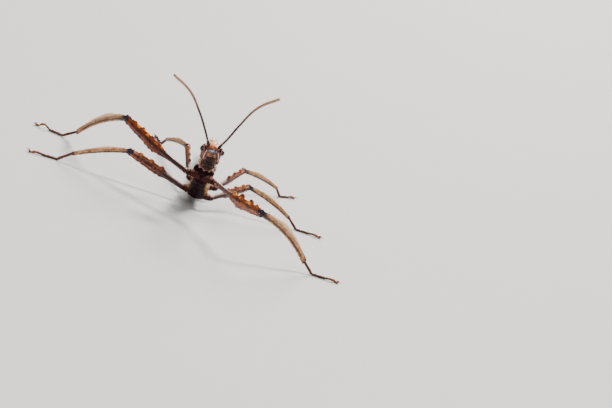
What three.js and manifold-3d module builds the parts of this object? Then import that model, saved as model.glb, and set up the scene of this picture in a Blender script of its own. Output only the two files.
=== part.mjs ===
// A giant prickly stick insect, Extatosoma tiaratum: a nearly grown male nymph, life size, walking with its
// forebody raised. Millimetres, +Z up. The insect faces -Y, its left side is +X, and it stands on z = 0.
// Every piece is a closed solid of its own, parted from its neighbours by a thin cut.
import * as THREE from 'three';
import { mergeVertices } from 'three/addons/utils/BufferGeometryUtils.js';
import Module from 'manifold-3d';

const wasm = await Module();
wasm.setup();

// ---------------------------------------------------------------- driving dimensions
const GAP = 0.25; // thin cut between neighbouring pieces
const EDGE = 0.27; // half the thickness of every thin ridge, lobe and flap
const SINK = 0.2; // how deep a spine or lobe is rooted in what it grows from
const LOBE_SINK = 0.25; // how far below a leg's ridge the middle of a lobe stands
const OVERRUN = 0.7; // how far a piece runs past its joint before the cut trims it

const PROTHORAX_FRONT = [0, -0.75, 12.05];
const NECK = { head: [0.05, -2.15, 14.25], slope: 62, radius: 1.05 };
const HEAD = { centre: [0.12, -4.2, 16.21], pitch: -5, roll: 6.8, yaw: 12 };
const MOUTH = { lipTop: -0.1, face: 1.05, chinTop: -1.5 }; // heights in the head, and the depth of its face
const EYE = { out: 2.24, front: 0.45, height: 1.13, radii: [0.62, 0.74, 0.8] };
const SCAPE = { out: 1.08, front: 1.0, height: 2.0, length: 1.5, radius: 0.36 };
const ANTENNA = { base: 0.27, middle: 0.28, tip: 0.36 };
const SOLE = 0.3; // height of the middle of a toe lying on the floor
const ANKLE = 2.6; // height of a tibia's end above the floor

const TARSOMERES = [3.8, 1.4, 1.2, 1.0, 2.6];
const TARSUS_RADIUS = 0.42;
const CLAW = { length: 1.25, spread: 26, radius: 0.2 };

// Body pieces from front to back. pitch is the slope down towards the tail and yaw the turn towards +X, in
// degrees. Each section is a half width with the heights above and below the middle.
const THORAX = [
  {
    name: 'prothorax', length: 4.4, pitch: 50, yaw: 0, steps: 3,
    front: [1.35, 1.1, 1.1], rear: [1.75, 1.35, 1.35],
    spines: { count: 2, length: 0.7 }, shoulder: { centre: [1.6, 1.5, 0.45], radii: [0.9, 1.15, 0.95] },
  },
  {
    name: 'mesothorax', length: 11.6, pitch: 28, yaw: 0, steps: 4,
    front: [1.65, 1.25, 1.2], rear: [2.65, 1.75, 1.65],
    spines: { count: 4, length: 0.95 }, wing: { from: 0.74, length: 2.4 },
  },
  {
    name: 'metathorax', length: 10.4, pitch: -5, yaw: -1, steps: 3,
    front: [2.5, 1.75, 1.65], rear: [2.35, 1.8, 1.6],
    spines: { count: 3, length: 0.8 }, wing: { from: 0.12, length: 3.6 },
  },
];
const ABDOMEN_LENGTHS = [6.2, 6.4, 6.4, 6.2, 5.6, 4.8, 3.6, 3.2, 2.8];
const ABDOMEN_HALF_WIDTHS = [2.25, 2.2, 2.15, 2.1, 2.0, 1.85, 1.6, 1.55, 1.5, 1.1];
const ABDOMEN_LOBES = [0, 0, 0, 0.75, 1.05, 0.75, 0.2, 0.3, 0.2];
const ABDOMEN_PITCH = { first: 3, last: -4 };
const ABDOMEN_YAW = { first: -2, last: -5 };

// Legs: hip is the end of the coxa and socket the point in the body that it grows from. A femur or tibia
// has its length, azimuth (0 is +X, 90 is +Y) and elevation; toes is the azimuth that the tarsus points
// along. A blade's core is its half thickness, and upper and lower are the heights of its two ridges.
const FORE = {
  femur: {
    steps: 11,
    bow: -0.43,
    core: [[0, 0.6], [0.3, 0.54], [0.5, 0.66], [1, 0.8]],
    upper: [[0, 0.68], [0.3, 0.6], [0.43, 0.9], [0.55, 1.06], [0.7, 1.12], [0.85, 1.05], [1, 1.0]],
    lower: [[0, 0.68], [0.2, 0.6], [0.3, 0.74], [0.42, 1.15], [0.53, 1.62], [0.7, 1.2], [1, 1.0]],
    lobes: [[0.405, 0.72], [0.56, 1.08], [0.755, 0.95], [0.88, 0.6]],
  },
  tibia: {
    steps: 6,
    bow: 1.15,
    core: [[0, 0.6], [0.4, 0.52], [1, 0.48]],
    upper: [[0, 0.7], [0.16, 1.0], [0.4, 1.45], [0.62, 1.15], [0.85, 0.62], [1, 0.6]],
    lower: [[0, 0.75], [0.3, 0.62], [0.8, 0.58], [1, 0.6]],
    lobes: [],
  },
};
const FORE_SMOOTH = {
  ...FORE,
  femur: {
    ...FORE.femur,
    upper: [[0, 0.68], [0.3, 0.6], [0.43, 1.0], [0.55, 1.2], [0.7, 1.25], [0.85, 1.1], [1, 1.0]],
    lobes: [[0.45, 0.51], [0.58, 0.61], [0.74, 0.59], [0.87, 0.49]],
  },
};
const REAR = {
  femur: {
    steps: 6,
    bow: 0,
    core: [[0, 0.6], [0.5, 0.68], [1, 0.75]],
    upper: [[0, 0.75], [0.2, 0.8], [0.45, 1.2], [0.75, 1.1], [1, 0.9]],
    lower: [[0, 0.75], [0.2, 0.8], [0.5, 1.3], [0.8, 1.1], [1, 1.0]],
    lobes: [[0.42, 0.65], [0.62, 0.7], [0.82, 0.62]],
  },
  tibia: {
    steps: 4,
    bow: 0.4,
    core: [[0, 0.58], [0.4, 0.5], [1, 0.46]],
    upper: [[0, 0.66], [0.2, 0.9], [0.42, 1.15], [0.66, 0.85], [1, 0.58]],
    lower: [[0, 0.66], [0.5, 0.58], [1, 0.56]],
    lobes: [],
  },
};
const LEGS = [
  {
    name: 'fore_right', kind: FORE_SMOOTH, body: 'prothorax',
    socket: [-0.9, 0.75, 9.9], hip: [-3.75, 0.5, 9.55],
    femur: [21.09, 149.2, 9.7], tibia: [19.59, 130.3, -32.3], toes: 180, lift: 0.8,
  },
  {
    name: 'fore_left', kind: FORE, body: 'prothorax',
    socket: [0.95, 0.6, 9.95], hip: [3.68, -0.3, 9.85],
    femur: [21.1, -55.4, 4.8], tibia: [19.8, 42, -27], toes: 22, lift: 0.2,
  },
  {
    name: 'middle_right', kind: REAR, body: 'mesothorax',
    socket: [-1.7, 11.1, 3.55], hip: [-3.7, 11.1, 3.4],
    femur: [15, 194, 14], tibia: [13.5, 208, -19.2], toes: 208, lift: 0.2,
  },
  {
    name: 'middle_left', kind: REAR, body: 'mesothorax',
    socket: [1.7, 11.1, 3.55], hip: [3.6, 11.5, 3.4],
    femur: [15, 60, 13], tibia: [13.5, 25, -18], toes: 20, lift: 0.2,
  },
  {
    name: 'hind_right', kind: REAR, body: 'metathorax',
    socket: [-1.6, 21, 3.75], hip: [-3.5, 21.8, 3.7],
    femur: [19, 102, 9], tibia: [19, 110, -12.4], toes: 112, lift: 0.2,
  },
  {
    name: 'hind_left', kind: REAR, body: 'metathorax',
    socket: [1.6, 21, 3.75], hip: [3.5, 21.8, 3.7],
    femur: [19, 76, 9], tibia: [19, 60, -12.4], toes: 56, lift: 0.2,
  },
];

const FINISHES = {
  cuticle: { color: 0x4a3230, roughness: 0.55 },
  thigh: { color: 0x8a4a2c, roughness: 0.5 },
  shin: { color: 0xb08a70, roughness: 0.6 },
  foot: { color: 0x7a4a36, roughness: 0.55 },
  jaw: { color: 0x241614, roughness: 0.4 },
  antenna: { color: 0x6a4a40, roughness: 0.6 },
  eye: { color: 0x2a1418, roughness: 0.15 },
  claw: { color: 0x8a2e14, roughness: 0.3 },
};

// ---------------------------------------------------------------- vectors and placing
const UP = new THREE.Vector3(0, 0, 1);
const ONE = new THREE.Vector3(1, 1, 1);
const SLAB = 200; // side of the block that a plane cut takes away
const rad = THREE.MathUtils.degToRad;
const point = (values) => new THREE.Vector3(...values);

/** A unit vector from its azimuth about Z and its elevation, in degrees. */
function heading(azimuth, elevation) {
  const [turn, rise] = [rad(azimuth), rad(elevation)];
  const level = Math.cos(rise);
  return new THREE.Vector3(Math.cos(turn) * level, Math.sin(turn) * level, Math.sin(rise));
}

/** A placement whose +Y runs along `direction`, with +Z as near to `upward` as it can be. */
function aim(from, direction, upward = UP) {
  const along = direction.clone().normalize();
  const across = along.clone().cross(upward).normalize();
  return new THREE.Matrix4().makeBasis(across, along, across.clone().cross(along)).setPosition(from);
}

/** The value at t of a smooth ramp through [t, value] stops. */
function ramp(t, stops) {
  const next = stops.findIndex(([place]) => place >= t);
  if (next <= 0) return (next === 0 ? stops[0] : stops.at(-1))[1];
  const [[t0, v0], [t1, v1]] = [stops[next - 1], stops[next]];
  return THREE.MathUtils.lerp(v0, v1, THREE.MathUtils.smoothstep(t, t0, t1));
}

const evenly = (steps) => Array.from({ length: steps + 1 }, (_, i) => i / steps);

// ---------------------------------------------------------------- solids
/** Joins a geometry's shared corners and makes it a solid. */
function toSolid(geometry) {
  const bare = new THREE.BufferGeometry();
  bare.setAttribute('position', geometry.getAttribute('position'));
  bare.setIndex(geometry.getIndex());
  const merged = mergeVertices(bare);
  return new wasm.Manifold(new wasm.Mesh({
    numProp: 3,
    vertProperties: merged.getAttribute('position').array,
    triVerts: Uint32Array.from(merged.getIndex().array),
  }));
}

/** Makes a solid a geometry again. */
function toGeometry(solid) {
  const { vertProperties, triVerts } = solid.getMesh();
  const geometry = new THREE.BufferGeometry();
  geometry.setAttribute('position', new THREE.BufferAttribute(vertProperties, 3));
  geometry.setIndex(new THREE.BufferAttribute(triVerts, 1));
  geometry.computeVertexNormals();
  return geometry;
}

/**
 * A capped form lofted through rings of points: `ring(station)` lists the points round the form, starting
 * at its top and going round by its +X side when the form runs along +Y.
 */
function loft(stations, ring) {
  const steps = stations.length - 1;
  const rings = stations.map((station) => ring(station));
  const sides = rings[0].length;
  const form = new THREE.CylinderGeometry(1, 1, 1, sides, steps);
  const corners = form.getAttribute('position');
  const corner = new THREE.Vector3();
  for (let i = 0; i < corners.count; i += 1) {
    corner.fromBufferAttribute(corners, i);
    const points = rings[Math.round((corner.y + 0.5) * steps)];
    const side = Math.round((Math.atan2(corner.x, corner.z) / (2 * Math.PI)) * sides + sides) % sides;
    const isCapMiddle = Math.hypot(corner.x, corner.z) < 0.5;
    const place = isCapMiddle ? middleOf(points) : point(points[side]);
    corners.setXYZ(i, place.x, place.y, place.z);
  }
  return form;
}

function middleOf(points) {
  const sum = points.reduce((total, each) => total.add(point(each)), new THREE.Vector3());
  return sum.divideScalar(points.length);
}

/** A tube along a curve, with `radius(t)` at each station t. */
function tube(curve, stations, sides, radius) {
  return loft(stations, (t) => {
    const tangent = curve.getTangent(t);
    const across = tangent.clone().cross(UP).normalize();
    const up = across.clone().cross(tangent);
    const centre = curve.getPoint(t);
    return evenly(sides).slice(0, -1).map((turn) => {
      const angle = 2 * Math.PI * (turn + 0.5 / sides);
      const spoke = across.clone().multiplyScalar(Math.sin(angle)).addScaledVector(up, Math.cos(angle));
      return centre.clone().addScaledVector(spoke, radius(t)).toArray();
    });
  });
}

/** A rounded lump with its own half sizes. */
function lump(centre, [x, y, z], sides = 6, rows = 5) {
  return new THREE.SphereGeometry(1, sides, rows).scale(x, y, z).translate(...centre);
}

/** A three-sided spine that stands at `base` along `direction`. */
function spine(base, direction, length, radius) {
  const along = point(direction).normalize();
  const form = new THREE.ConeGeometry(radius, length + SINK, 3).translate(0, (length - SINK) / 2, 0);
  form.applyQuaternion(new THREE.Quaternion().setFromUnitVectors(new THREE.Vector3(0, 1, 0), along));
  return form.translate(...base);
}

/** A round lobe standing in the plane of a leg's upper ridge. */
function lobe(y, z, radius) {
  return new THREE.CylinderGeometry(radius, radius, 2 * EDGE, 7).rotateZ(Math.PI / 2).translate(0, y, z);
}

/** A hook that bends down as it runs along `azimuth`, for a claw. */
function hook(root, azimuth, length, radius) {
  const out = heading(azimuth, 0);
  const curve = new THREE.QuadraticBezierCurve3(
    root,
    root.clone().addScaledVector(out, 0.6 * length).addScaledVector(UP, 0.32 * length),
    root.clone().addScaledVector(out, length).addScaledVector(UP, -0.12 * length),
  );
  return tube(curve, evenly(2), 3, (t) => radius * (1 - 0.75 * t));
}

// ---------------------------------------------------------------- pieces
const pieces = new Map();

/** Adds a piece: its forms are joined in its own frame, which `place` sets in the insect's. */
function addPiece(name, finish, place, forms) {
  const solid = forms.map(toSolid).reduce((whole, form) => whole.add(form));
  const piece = { name, finish, place, solid };
  pieces.set(name, piece);
  return piece;
}

/** Takes a form, given in the insect's frame, out of a piece. */
function carve(piece, form) {
  const inside = piece.place.clone().invert();
  piece.solid = piece.solid.subtract(toSolid(form.clone().applyMatrix4(inside)));
}

/** Cuts off what lies past the plane through `at`, on the side that `facing` points to. */
function trim(piece, at, facing) {
  const turn = new THREE.Quaternion().setFromUnitVectors(UP, facing);
  const centre = at.clone().addScaledVector(facing, SLAB / 2);
  const slab = new THREE.BoxGeometry(SLAB, SLAB, SLAB);
  carve(piece, slab.applyMatrix4(new THREE.Matrix4().compose(centre, turn, ONE)));
}

/** Parts two pieces that meet at a joint: one runs `into` it and the next runs `out` of it. */
function mitre(first, second, at, into, out) {
  const facing = into.clone().add(out).normalize();
  trim(first, at.clone().addScaledVector(facing, -GAP / 2), facing);
  trim(second, at.clone().addScaledVector(facing, GAP / 2), facing.clone().negate());
}

// ---------------------------------------------------------------- body
/** A body section: an oval with a thin side margin that `flare` carries outwards. */
function bodyRing(y, [width, above, below], flare = 0) {
  const side = [
    [0.5 * width, 0.87 * above],
    [0.88 * width, 0.52 * above],
    [width + flare, EDGE],
    [width + flare, -EDGE],
    [0.88 * width, -0.52 * below],
    [0.5 * width, -0.87 * below],
  ];
  const mirrored = side.toReversed().map(([x, z]) => [-x, z]);
  return [[0, above], ...side, [0, -below], ...mirrored].map(([x, z]) => [x, y, z]);
}

const mixSections = (a, b, t) => a.map((value, i) => THREE.MathUtils.lerp(value, b[i], t));

/** Paired spines up the back of a body piece, and paired shorter ones along its side margins. */
function bodySpines(plan) {
  const { count, length } = plan.spines;
  return evenly(count).slice(1).flatMap((mark) => {
    const t = mark - 0.5 / count;
    const [width, above] = mixSections(plan.front, plan.rear, t);
    const y = t * plan.length;
    return [-1, 1].flatMap((side) => [
      spine([0.42 * side * width, y, 0.86 * above], [0.35 * side, 0.25, 1], length, 0.24),
      spine([side * (width - 0.1), y + 0.3, 0], [side, 0.2, 0.15], 0.7 * length, 0.22),
    ]);
  });
}

/** A short flap lying back along the side of the thorax: a wing bud. */
function wingBud(plan, side) {
  const { from, length } = plan.wing;
  const [width, above] = mixSections(plan.front, plan.rear, from);
  const start = from * plan.length;
  return loft(evenly(4), (t) => {
    const half = ramp(t, [[0, 0.9], [0.6, 0.75], [1, 0.35]]);
    const centre = [side * 0.72 * width, start + t * length, 0.8 * above + 0.25 * t];
    const corners = [[-half, EDGE], [half, EDGE - 0.3], [half, -EDGE - 0.3], [-half, -EDGE]];
    const turned = side > 0 ? corners : corners.map(([x, z]) => [-x, z]).toReversed();
    return turned.map(([x, z]) => [centre[0] + x, centre[1], centre[2] + z]);
  });
}

/** A shoulder: a hump at the front corner of the prothorax, over the base of the fore leg. */
function shoulder({ centre: [out, along, rise], radii }, side) {
  return lump([side * out, along, rise], radii);
}

/** Lays body pieces end to end from `from`, and parts each from the one before. */
function chain(plans, from, previous) {
  let start = from;
  let last = previous;
  for (const plan of plans) {
    const back = heading(90 - plan.yaw, -plan.pitch);
    const whole = loft(evenly(plan.steps), (t) => {
      const y = THREE.MathUtils.lerp(-OVERRUN, plan.length + OVERRUN, t);
      const along = THREE.MathUtils.clamp(y / plan.length, 0, 1);
      return bodyRing(y, mixSections(plan.front, plan.rear, along), plan.flare(along));
    });
    const piece = addPiece(plan.name, 'cuticle', aim(start, back), [whole, ...plan.extras]);
    if (last) mitre(last.piece, piece, start, last.back, back);
    last = { piece, back };
    start = start.clone().addScaledVector(back, plan.length);
  }
  return { end: start, last };
}

function buildThorax() {
  const plans = THORAX.map((plan) => {
    const buds = plan.wing ? [-1, 1].map((side) => wingBud(plan, side)) : [];
    const humps = plan.shoulder ? [-1, 1].map((side) => shoulder(plan.shoulder, side)) : [];
    return { ...plan, flare: () => 0, extras: [...bodySpines(plan), ...buds, ...humps] };
  });
  return chain(plans, point(PROTHORAX_FRONT), null);
}

function buildAbdomen(from, thorax) {
  const count = ABDOMEN_LENGTHS.length;
  const plans = ABDOMEN_LENGTHS.map((length, i) => {
    const t = i / (count - 1);
    const [width, next] = [ABDOMEN_HALF_WIDTHS[i], ABDOMEN_HALF_WIDTHS[i + 1]];
    const plan = {
      name: `abdomen_${i + 2}`,
      length,
      steps: 2,
      pitch: THREE.MathUtils.lerp(ABDOMEN_PITCH.first, ABDOMEN_PITCH.last, t),
      yaw: THREE.MathUtils.lerp(ABDOMEN_YAW.first, ABDOMEN_YAW.last, t),
      front: [0.94 * width, 0.75 * width, 0.68 * width],
      rear: [1.04 * next, 0.85 * next, 0.74 * next],
      flare: (along) => ABDOMEN_LOBES[i] * ramp(along, [[0, 0], [0.7, 1], [1, 0.55]]),
    };
    const above = 0.84 * next;
    const pair = [-1, 1].map((side) => (
      spine([0.4 * side, 0.78 * length, above], [0.3 * side, 0.5, 1], 0.55, 0.22)
    ));
    return { ...plan, extras: pair };
  });
  return chain(plans, from, thorax);
}

/** The two cerci, short blades beside the end of the abdomen. */
function buildCerci(end, tail, lastRing) {
  trim(lastRing, end, tail);
  for (const [side, name] of [[-1, 'cercus_right'], [1, 'cercus_left']]) {
    const out = heading(90 - side * 14 - ABDOMEN_YAW.last, 6);
    const root = end.clone().addScaledVector(out, GAP + 0.1).add(point([side * 0.62, 0, 0.1]));
    const curve = new THREE.LineCurve3(new THREE.Vector3(), new THREE.Vector3(0, 1.7, 0));
    const form = tube(curve, evenly(3), 6, (t) => ramp(t, [[0, 0.3], [0.4, 0.42], [1, 0.26]]));
    const piece = addPiece(name, 'cuticle', aim(root, out), [form]);
    trim(piece, end.clone().addScaledVector(tail, GAP), tail.clone().negate());
  }
}

// ---------------------------------------------------------------- head
// The head capsule from chin to crown: height, half width, and how far it reaches to the front and back.
const HEAD_SECTIONS = [
  [-2.3, 1.62, 1.0, 1.7],
  [-1.5, 2.05, 1.6, 2.2],
  [-0.6, 2.32, 1.85, 2.6],
  [0.4, 2.42, 1.85, 2.9],
  [1.2, 2.32, 1.65, 3.1],
  [1.8, 2.05, 1.3, 3.1],
  [2.3, 1.5, 0.6, 3.0],
  [2.75, 0.98, -0.1, 2.75],
  [3.15, 0.66, -0.6, 2.4],
  [3.4, 0.4, -0.9, 2.0],
];

function headRing([height, half, front, back], sides = 12) {
  return evenly(sides).slice(0, -1).map((turn) => {
    const [across, ahead] = [Math.sin(2 * Math.PI * turn), Math.cos(2 * Math.PI * turn)];
    const x = half * Math.sign(across) * Math.abs(across) ** 0.75;
    return [x, (back - front) / 2 - ((back + front) / 2) * ahead, height];
  });
}

const headTurn = new THREE.Euler(rad(HEAD.pitch), -rad(HEAD.roll), rad(HEAD.yaw), 'ZYX');
const headPlace = new THREE.Matrix4().compose(
  point(HEAD.centre),
  new THREE.Quaternion().setFromEuler(headTurn),
  ONE,
);
const inHead = (across, front, height) => [across, -front, height];

/** A section of a plate on the face: a half width, and its depths at the middle, the sides and the back. */
function plateRing(half, middle, sides, back, height) {
  const corners = [[0, middle], [half, sides], [half, back], [-half, back], [-half, sides]];
  return corners.map(([x, y]) => inHead(x, y, height));
}

// The pairs of spines round the peak of the head: across, to the front and up, and their length.
const CROWN_SPINES = [
  [0.36, -0.95, 3.25, 0.9],
  [0.72, -0.15, 2.7, 0.65],
  [0.66, -1.8, 3.0, 0.8],
  [1.15, -2.2, 2.4, 0.6],
];

function crownSpines() {
  return CROWN_SPINES.flatMap(([out, front, height, length]) => [-1, 1].map((side) => (
    spine(inHead(side * out, front, height - 0.1), [side * out * 0.45, -0.15 * front, 1], length, 0.27)
  )));
}

function buildHead() {
  const forms = [
    loft(HEAD_SECTIONS, headRing),
    lump(inHead(0, 1.4, 0.95), [0.9, 0.5, 0.7]), // frons
    loft([[-0.05, 2.0, 1.05], [0.25, 2.15, 1.1], [0.55, 1.95, 1.0]], ([rise, front, half]) => (
      plateRing(half, front, front - 0.35, 1.1, MOUTH.lipTop + rise) // clypeus, a low shelf over the lip
    )),
    ...[-1, 1].flatMap((side) => [
      lump(inHead(side * 1.6, 1.2, 0.1), [0.32, 0.45, 1.4], 5, 6), // cheek ridge
      lump(inHead(side * SCAPE.out, SCAPE.front - 0.25, SCAPE.height - 0.35), [0.55, 0.5, 0.5]), // socket
      lump(inHead(side * 1.8, 0.45, 1.95), [0.45, 0.6, 0.4], 6, 4), // brow
    ]),
    ...crownSpines(),
  ];
  const head = addPiece('head', 'cuticle', headPlace, forms);
  for (const [side, name] of [[-1, 'eye_right'], [1, 'eye_left']]) {
    const centre = inHead(side * EYE.out, EYE.front, EYE.height);
    addPiece(name, 'eye', headPlace, [lump(centre, EYE.radii, 9, 6)]);
    carve(head, lump(centre, EYE.radii.map((radius) => radius + GAP), 9, 6).applyMatrix4(headPlace));
  }
  return head;
}

// The feelers of the mouth, an outer and an inner pair, as bends across, to the front and up.
const PALPS = [
  [[1.2, -0.75, -2.6], [2.2, 0.1, -2.8], [1.6, 0.95, -3.6]],
  [[0.5, -0.6, -3.2], [0.65, 0.2, -3.65], [0.45, 0.6, -4.1]],
];

function buildMouth(head) {
  const { lipTop, face, chinTop } = MOUTH;
  const lip = loft([[1.15, 0.6], [0.7, 0.95], [GAP, 1.0]], ([depth, half]) => (
    plateRing(half, 2.0, 1.7, 1.3, lipTop - depth)
  ));
  const jaws = (margin) => [-1, 1].map((side) => (
    lump(inHead(side * 0.5, 0.45, -1.9), [0.65, 0.65, 1.0].map((size) => size + margin), 6, 5)
  ));
  const chin = loft([-3.7, -3.2, -2.5, -1.7], (height) => {
    const half = ramp(-height, [[1.7, 1.75], [2.8, 1.6], [3.7, 0.9]]);
    return headRing([height, half, 0.62 - half * 0.65, 1.35], 10);
  });
  const palps = [-1, 1].flatMap((side) => PALPS.map((bends) => {
    const bendsOut = bends.map(([out, front, height]) => point(inHead(side * out, front, height)));
    return tube(new THREE.QuadraticBezierCurve3(...bendsOut), evenly(3), 6, (t) => 0.25 + 0.06 * t);
  }));
  addPiece('labrum', 'jaw', headPlace, [lip]);
  const mandibles = addPiece('mandibles', 'jaw', headPlace, jaws(0));
  const labium = addPiece('labium', 'jaw', headPlace, [chin, ...palps]);
  const gape = new THREE.BoxGeometry(2.5, 3, 2).translate(...inHead(0, face + 1.5, lipTop - 1));
  carve(head, gape.applyMatrix4(headPlace));
  for (const jaw of jaws(GAP)) carve(head, jaw.applyMatrix4(headPlace));
  const level = (height) => point(inHead(0, 0, height)).applyMatrix4(headPlace);
  const headUp = UP.clone().transformDirection(headPlace);
  trim(head, level(chinTop), headUp.clone().negate());
  trim(labium, level(chinTop - GAP), headUp);
  for (const jaw of jaws(GAP)) carve(labium, jaw.applyMatrix4(headPlace));
  const jawFace = new THREE.BoxGeometry(3, 2, 3).translate(...inHead(0, face + 1, -2.4));
  carve(mandibles, jawFace.applyMatrix4(headPlace));
}

// Each antenna bends through points given from its base, in the insect's frame.
const ANTENNA_PATHS = {
  right: [[-1.6, -0.9, 2.5], [-4.9, -2.1, 6.8], [-8.5, -4.2, 10.6], [-12.9, -6, 12.75]],
  left: [[1.0, -0.9, 2.55], [2.42, -2.1, 7.1], [4.6, -3.9, 12.55], [8.33, -6, 16.78]],
};

function buildAntennae(head) {
  const swell = [[0, 0.7], [0.2, 1], [0.55, 1.05], [0.62, 0.72], [0.8, 0.85], [1, 0.8]];
  const { base, middle, tip } = ANTENNA;
  for (const [side, name] of [[-1, 'right'], [1, 'left']]) {
    const root = point(inHead(side * SCAPE.out, SCAPE.front, SCAPE.height)).applyMatrix4(headPlace);
    const [first, ...rest] = ANTENNA_PATHS[name].map(point);
    const out = first.clone().normalize();
    const straight = new THREE.LineCurve3(new THREE.Vector3(), new THREE.Vector3(0, SCAPE.length, 0));
    const scape = tube(straight, [0, 0.2, 0.55, 0.62, 1], 7, (t) => SCAPE.radius * ramp(t, swell));
    addPiece(`scape_${name}`, 'antenna', aim(root, out), [scape]);
    const socket = new THREE.CylinderGeometry(0.62, 0.62, 2, 10).rotateX(Math.PI / 2).translate(0, 0, 1);
    const seat = new THREE.Quaternion().setFromUnitVectors(UP, out);
    const under = root.clone().addScaledVector(out, -GAP);
    carve(head, socket.applyMatrix4(new THREE.Matrix4().compose(under, seat, ONE)));
    const start = out.clone().multiplyScalar(SCAPE.length + GAP);
    const curve = new THREE.CatmullRomCurve3([start, first, ...rest]);
    const whip = tube(curve, evenly(11), 6, (t) => (
      ramp(t, [[0, base], [0.5, middle], [0.93, tip], [1, 0.7 * tip]])
    ));
    addPiece(`antenna_${name}`, 'antenna', new THREE.Matrix4().setPosition(root), [whip]);
  }
}

/** The neck: a short soft column, cut square to the head and to the first piece of the thorax. */
function buildNeck(head, prothorax) {
  const top = point(NECK.head);
  const down = heading(90, -NECK.slope);
  const bottom = point(PROTHORAX_FRONT);
  const reach = bottom.distanceTo(top) + OVERRUN;
  const straight = new THREE.LineCurve3(new THREE.Vector3(0, -OVERRUN, 0), new THREE.Vector3(0, reach, 0));
  const column = tube(straight, evenly(3), 10, () => NECK.radius);
  const along = bottom.clone().sub(top).normalize();
  const neck = addPiece('neck', 'cuticle', aim(top, along), [column]);
  trim(head, top.clone().addScaledVector(down, -GAP), down);
  trim(neck, top.clone(), down.clone().negate());
  const back = heading(90, -THORAX[0].pitch);
  mitre(neck, prothorax, bottom, back, back);
}

// ---------------------------------------------------------------- legs
/** A leg blade's section: a rounded core between a thin upper and a thin lower ridge. */
function bladeRing(y, core, upper, lower, rise) {
  const side = [
    [EDGE, upper],
    [0.82 * core, 0.55 * core + rise],
    [core, rise],
    [0.82 * core, -0.55 * core + rise],
    [EDGE, -lower],
  ];
  const mirrored = side.toReversed().map(([x, z]) => [-x, z]);
  return [...side, ...mirrored].map(([x, z]) => [x, y, z]);
}

/** The forms of a femur or tibia of a given length, running past both of its joints. */
function blade(shape, length) {
  const arch = (along) => 4 * shape.bow * along * (1 - along);
  const lengthways = loft(evenly(shape.steps), (t) => {
    const y = THREE.MathUtils.lerp(-OVERRUN, length + OVERRUN, t);
    const along = y / length;
    const bow = arch(along);
    const [core, upper, lower] = [shape.core, shape.upper, shape.lower].map((stops) => ramp(along, stops));
    return bladeRing(y, core, upper + bow, lower - bow, bow);
  });
  const lobes = shape.lobes.map(([along, radius]) => (
    lobe(along * length, ramp(along, shape.upper) + arch(along) - LOBE_SINK, radius)
  ));
  return [lengthways, ...lobes];
}

/** The tarsus: down from the ankle in the first tarsomere, then level, with the last one arching. */
function tarsusCurve(lift) {
  const [first, ...rest] = TARSOMERES;
  const drop = ANKLE - SOLE;
  const reach = Math.sqrt(first ** 2 - drop ** 2);
  const flat = rest.reduce((sum, length) => sum + length, 0);
  return new THREE.CatmullRomCurve3([
    [0, -0.3, 0.25],
    [0, reach * 0.5, -drop * 0.62],
    [0, reach, -drop],
    [0, reach + 0.5 * flat, -drop],
    [0, reach + 0.76 * flat, -drop + lift],
    [0, reach + flat, -drop + 0.05],
  ].map(point), false, 'centripetal');
}

/** Where along the tarsus its stations stand: the narrow start and the wide end of each tarsomere. */
function tarsusStations() {
  const total = TARSOMERES.reduce((sum, length) => sum + length, 0);
  let done = 0;
  return TARSOMERES.flatMap((length) => {
    const start = done;
    done += length;
    return [start + 0.08, done - 0.22].map((y) => y / total);
  });
}

function buildFoot(leg, ankle, into, tibia) {
  const toes = heading(leg.toes, 0);
  const curve = tarsusCurve(leg.lift);
  const stations = tarsusStations();
  const widths = [0.76, 1.08];
  const form = tube(curve, stations, 5, (t) => TARSUS_RADIUS * widths[stations.indexOf(t) % widths.length]);
  const tarsus = addPiece(`tarsus_${leg.name}`, 'foot', aim(ankle, toes), [form]);
  const out = curve.getTangent(0).transformDirection(tarsus.place);
  mitre(tibia, tarsus, ankle, into, out);

  const toeEnd = curve.getPoint(1).applyMatrix4(tarsus.place).addScaledVector(toes, GAP);
  const place = aim(new THREE.Vector3(toeEnd.x, toeEnd.y, SOLE), toes);
  const pad = lump([0, 0.42, -0.05], [0.45, 0.5, 0.4], 5, 4);
  const hooks = [-1, 1].map((side) => (
    hook(new THREE.Vector3(side * 0.18, 0.3, 0.12), 90 - side * CLAW.spread, CLAW.length, CLAW.radius)
  ));
  const claws = addPiece(`claws_${leg.name}`, 'claw', place, [pad, ...hooks]);
  trim(claws, toeEnd, toes.clone().negate());
  for (const piece of [tarsus, claws]) trim(piece, new THREE.Vector3(), UP.clone().negate());
}

function buildLeg(leg) {
  const hip = point(leg.hip);
  const socket = point(leg.socket);
  const [femurLength, ...femurAim] = leg.femur;
  const [tibiaLength, ...tibiaAim] = leg.tibia;
  const thigh = heading(...femurAim);
  const shin = heading(...tibiaAim);
  const knee = hip.clone().addScaledVector(thigh, femurLength);
  const ankle = knee.clone().addScaledVector(shin, tibiaLength);

  const reach = hip.clone().sub(socket);
  const coxaPlace = aim(socket, reach);
  const coxaEnd = new THREE.Vector3(0, reach.length() + OVERRUN, 0);
  const coxaForm = (margin) => tube(
    new THREE.LineCurve3(new THREE.Vector3(0, -margin, 0), coxaEnd),
    evenly(3),
    7,
    (t) => margin + ramp(t, [[0, 0.8], [0.4, 0.95], [0.75, 0.85], [1, 0.6]]),
  );
  const coxa = addPiece(`coxa_${leg.name}`, 'cuticle', coxaPlace, [coxaForm(0)]);
  carve(pieces.get(leg.body), coxaForm(GAP).applyMatrix4(coxaPlace));

  const { femur: thighShape, tibia: shinShape } = leg.kind;
  const femur = addPiece(`femur_${leg.name}`, 'thigh', aim(hip, thigh), blade(thighShape, femurLength));
  const tibia = addPiece(`tibia_${leg.name}`, 'shin', aim(knee, shin), blade(shinShape, tibiaLength));
  mitre(coxa, femur, hip, reach.clone().normalize(), thigh);
  mitre(femur, tibia, knee, thigh, shin);
  buildFoot(leg, ankle, shin, tibia);
}

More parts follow.
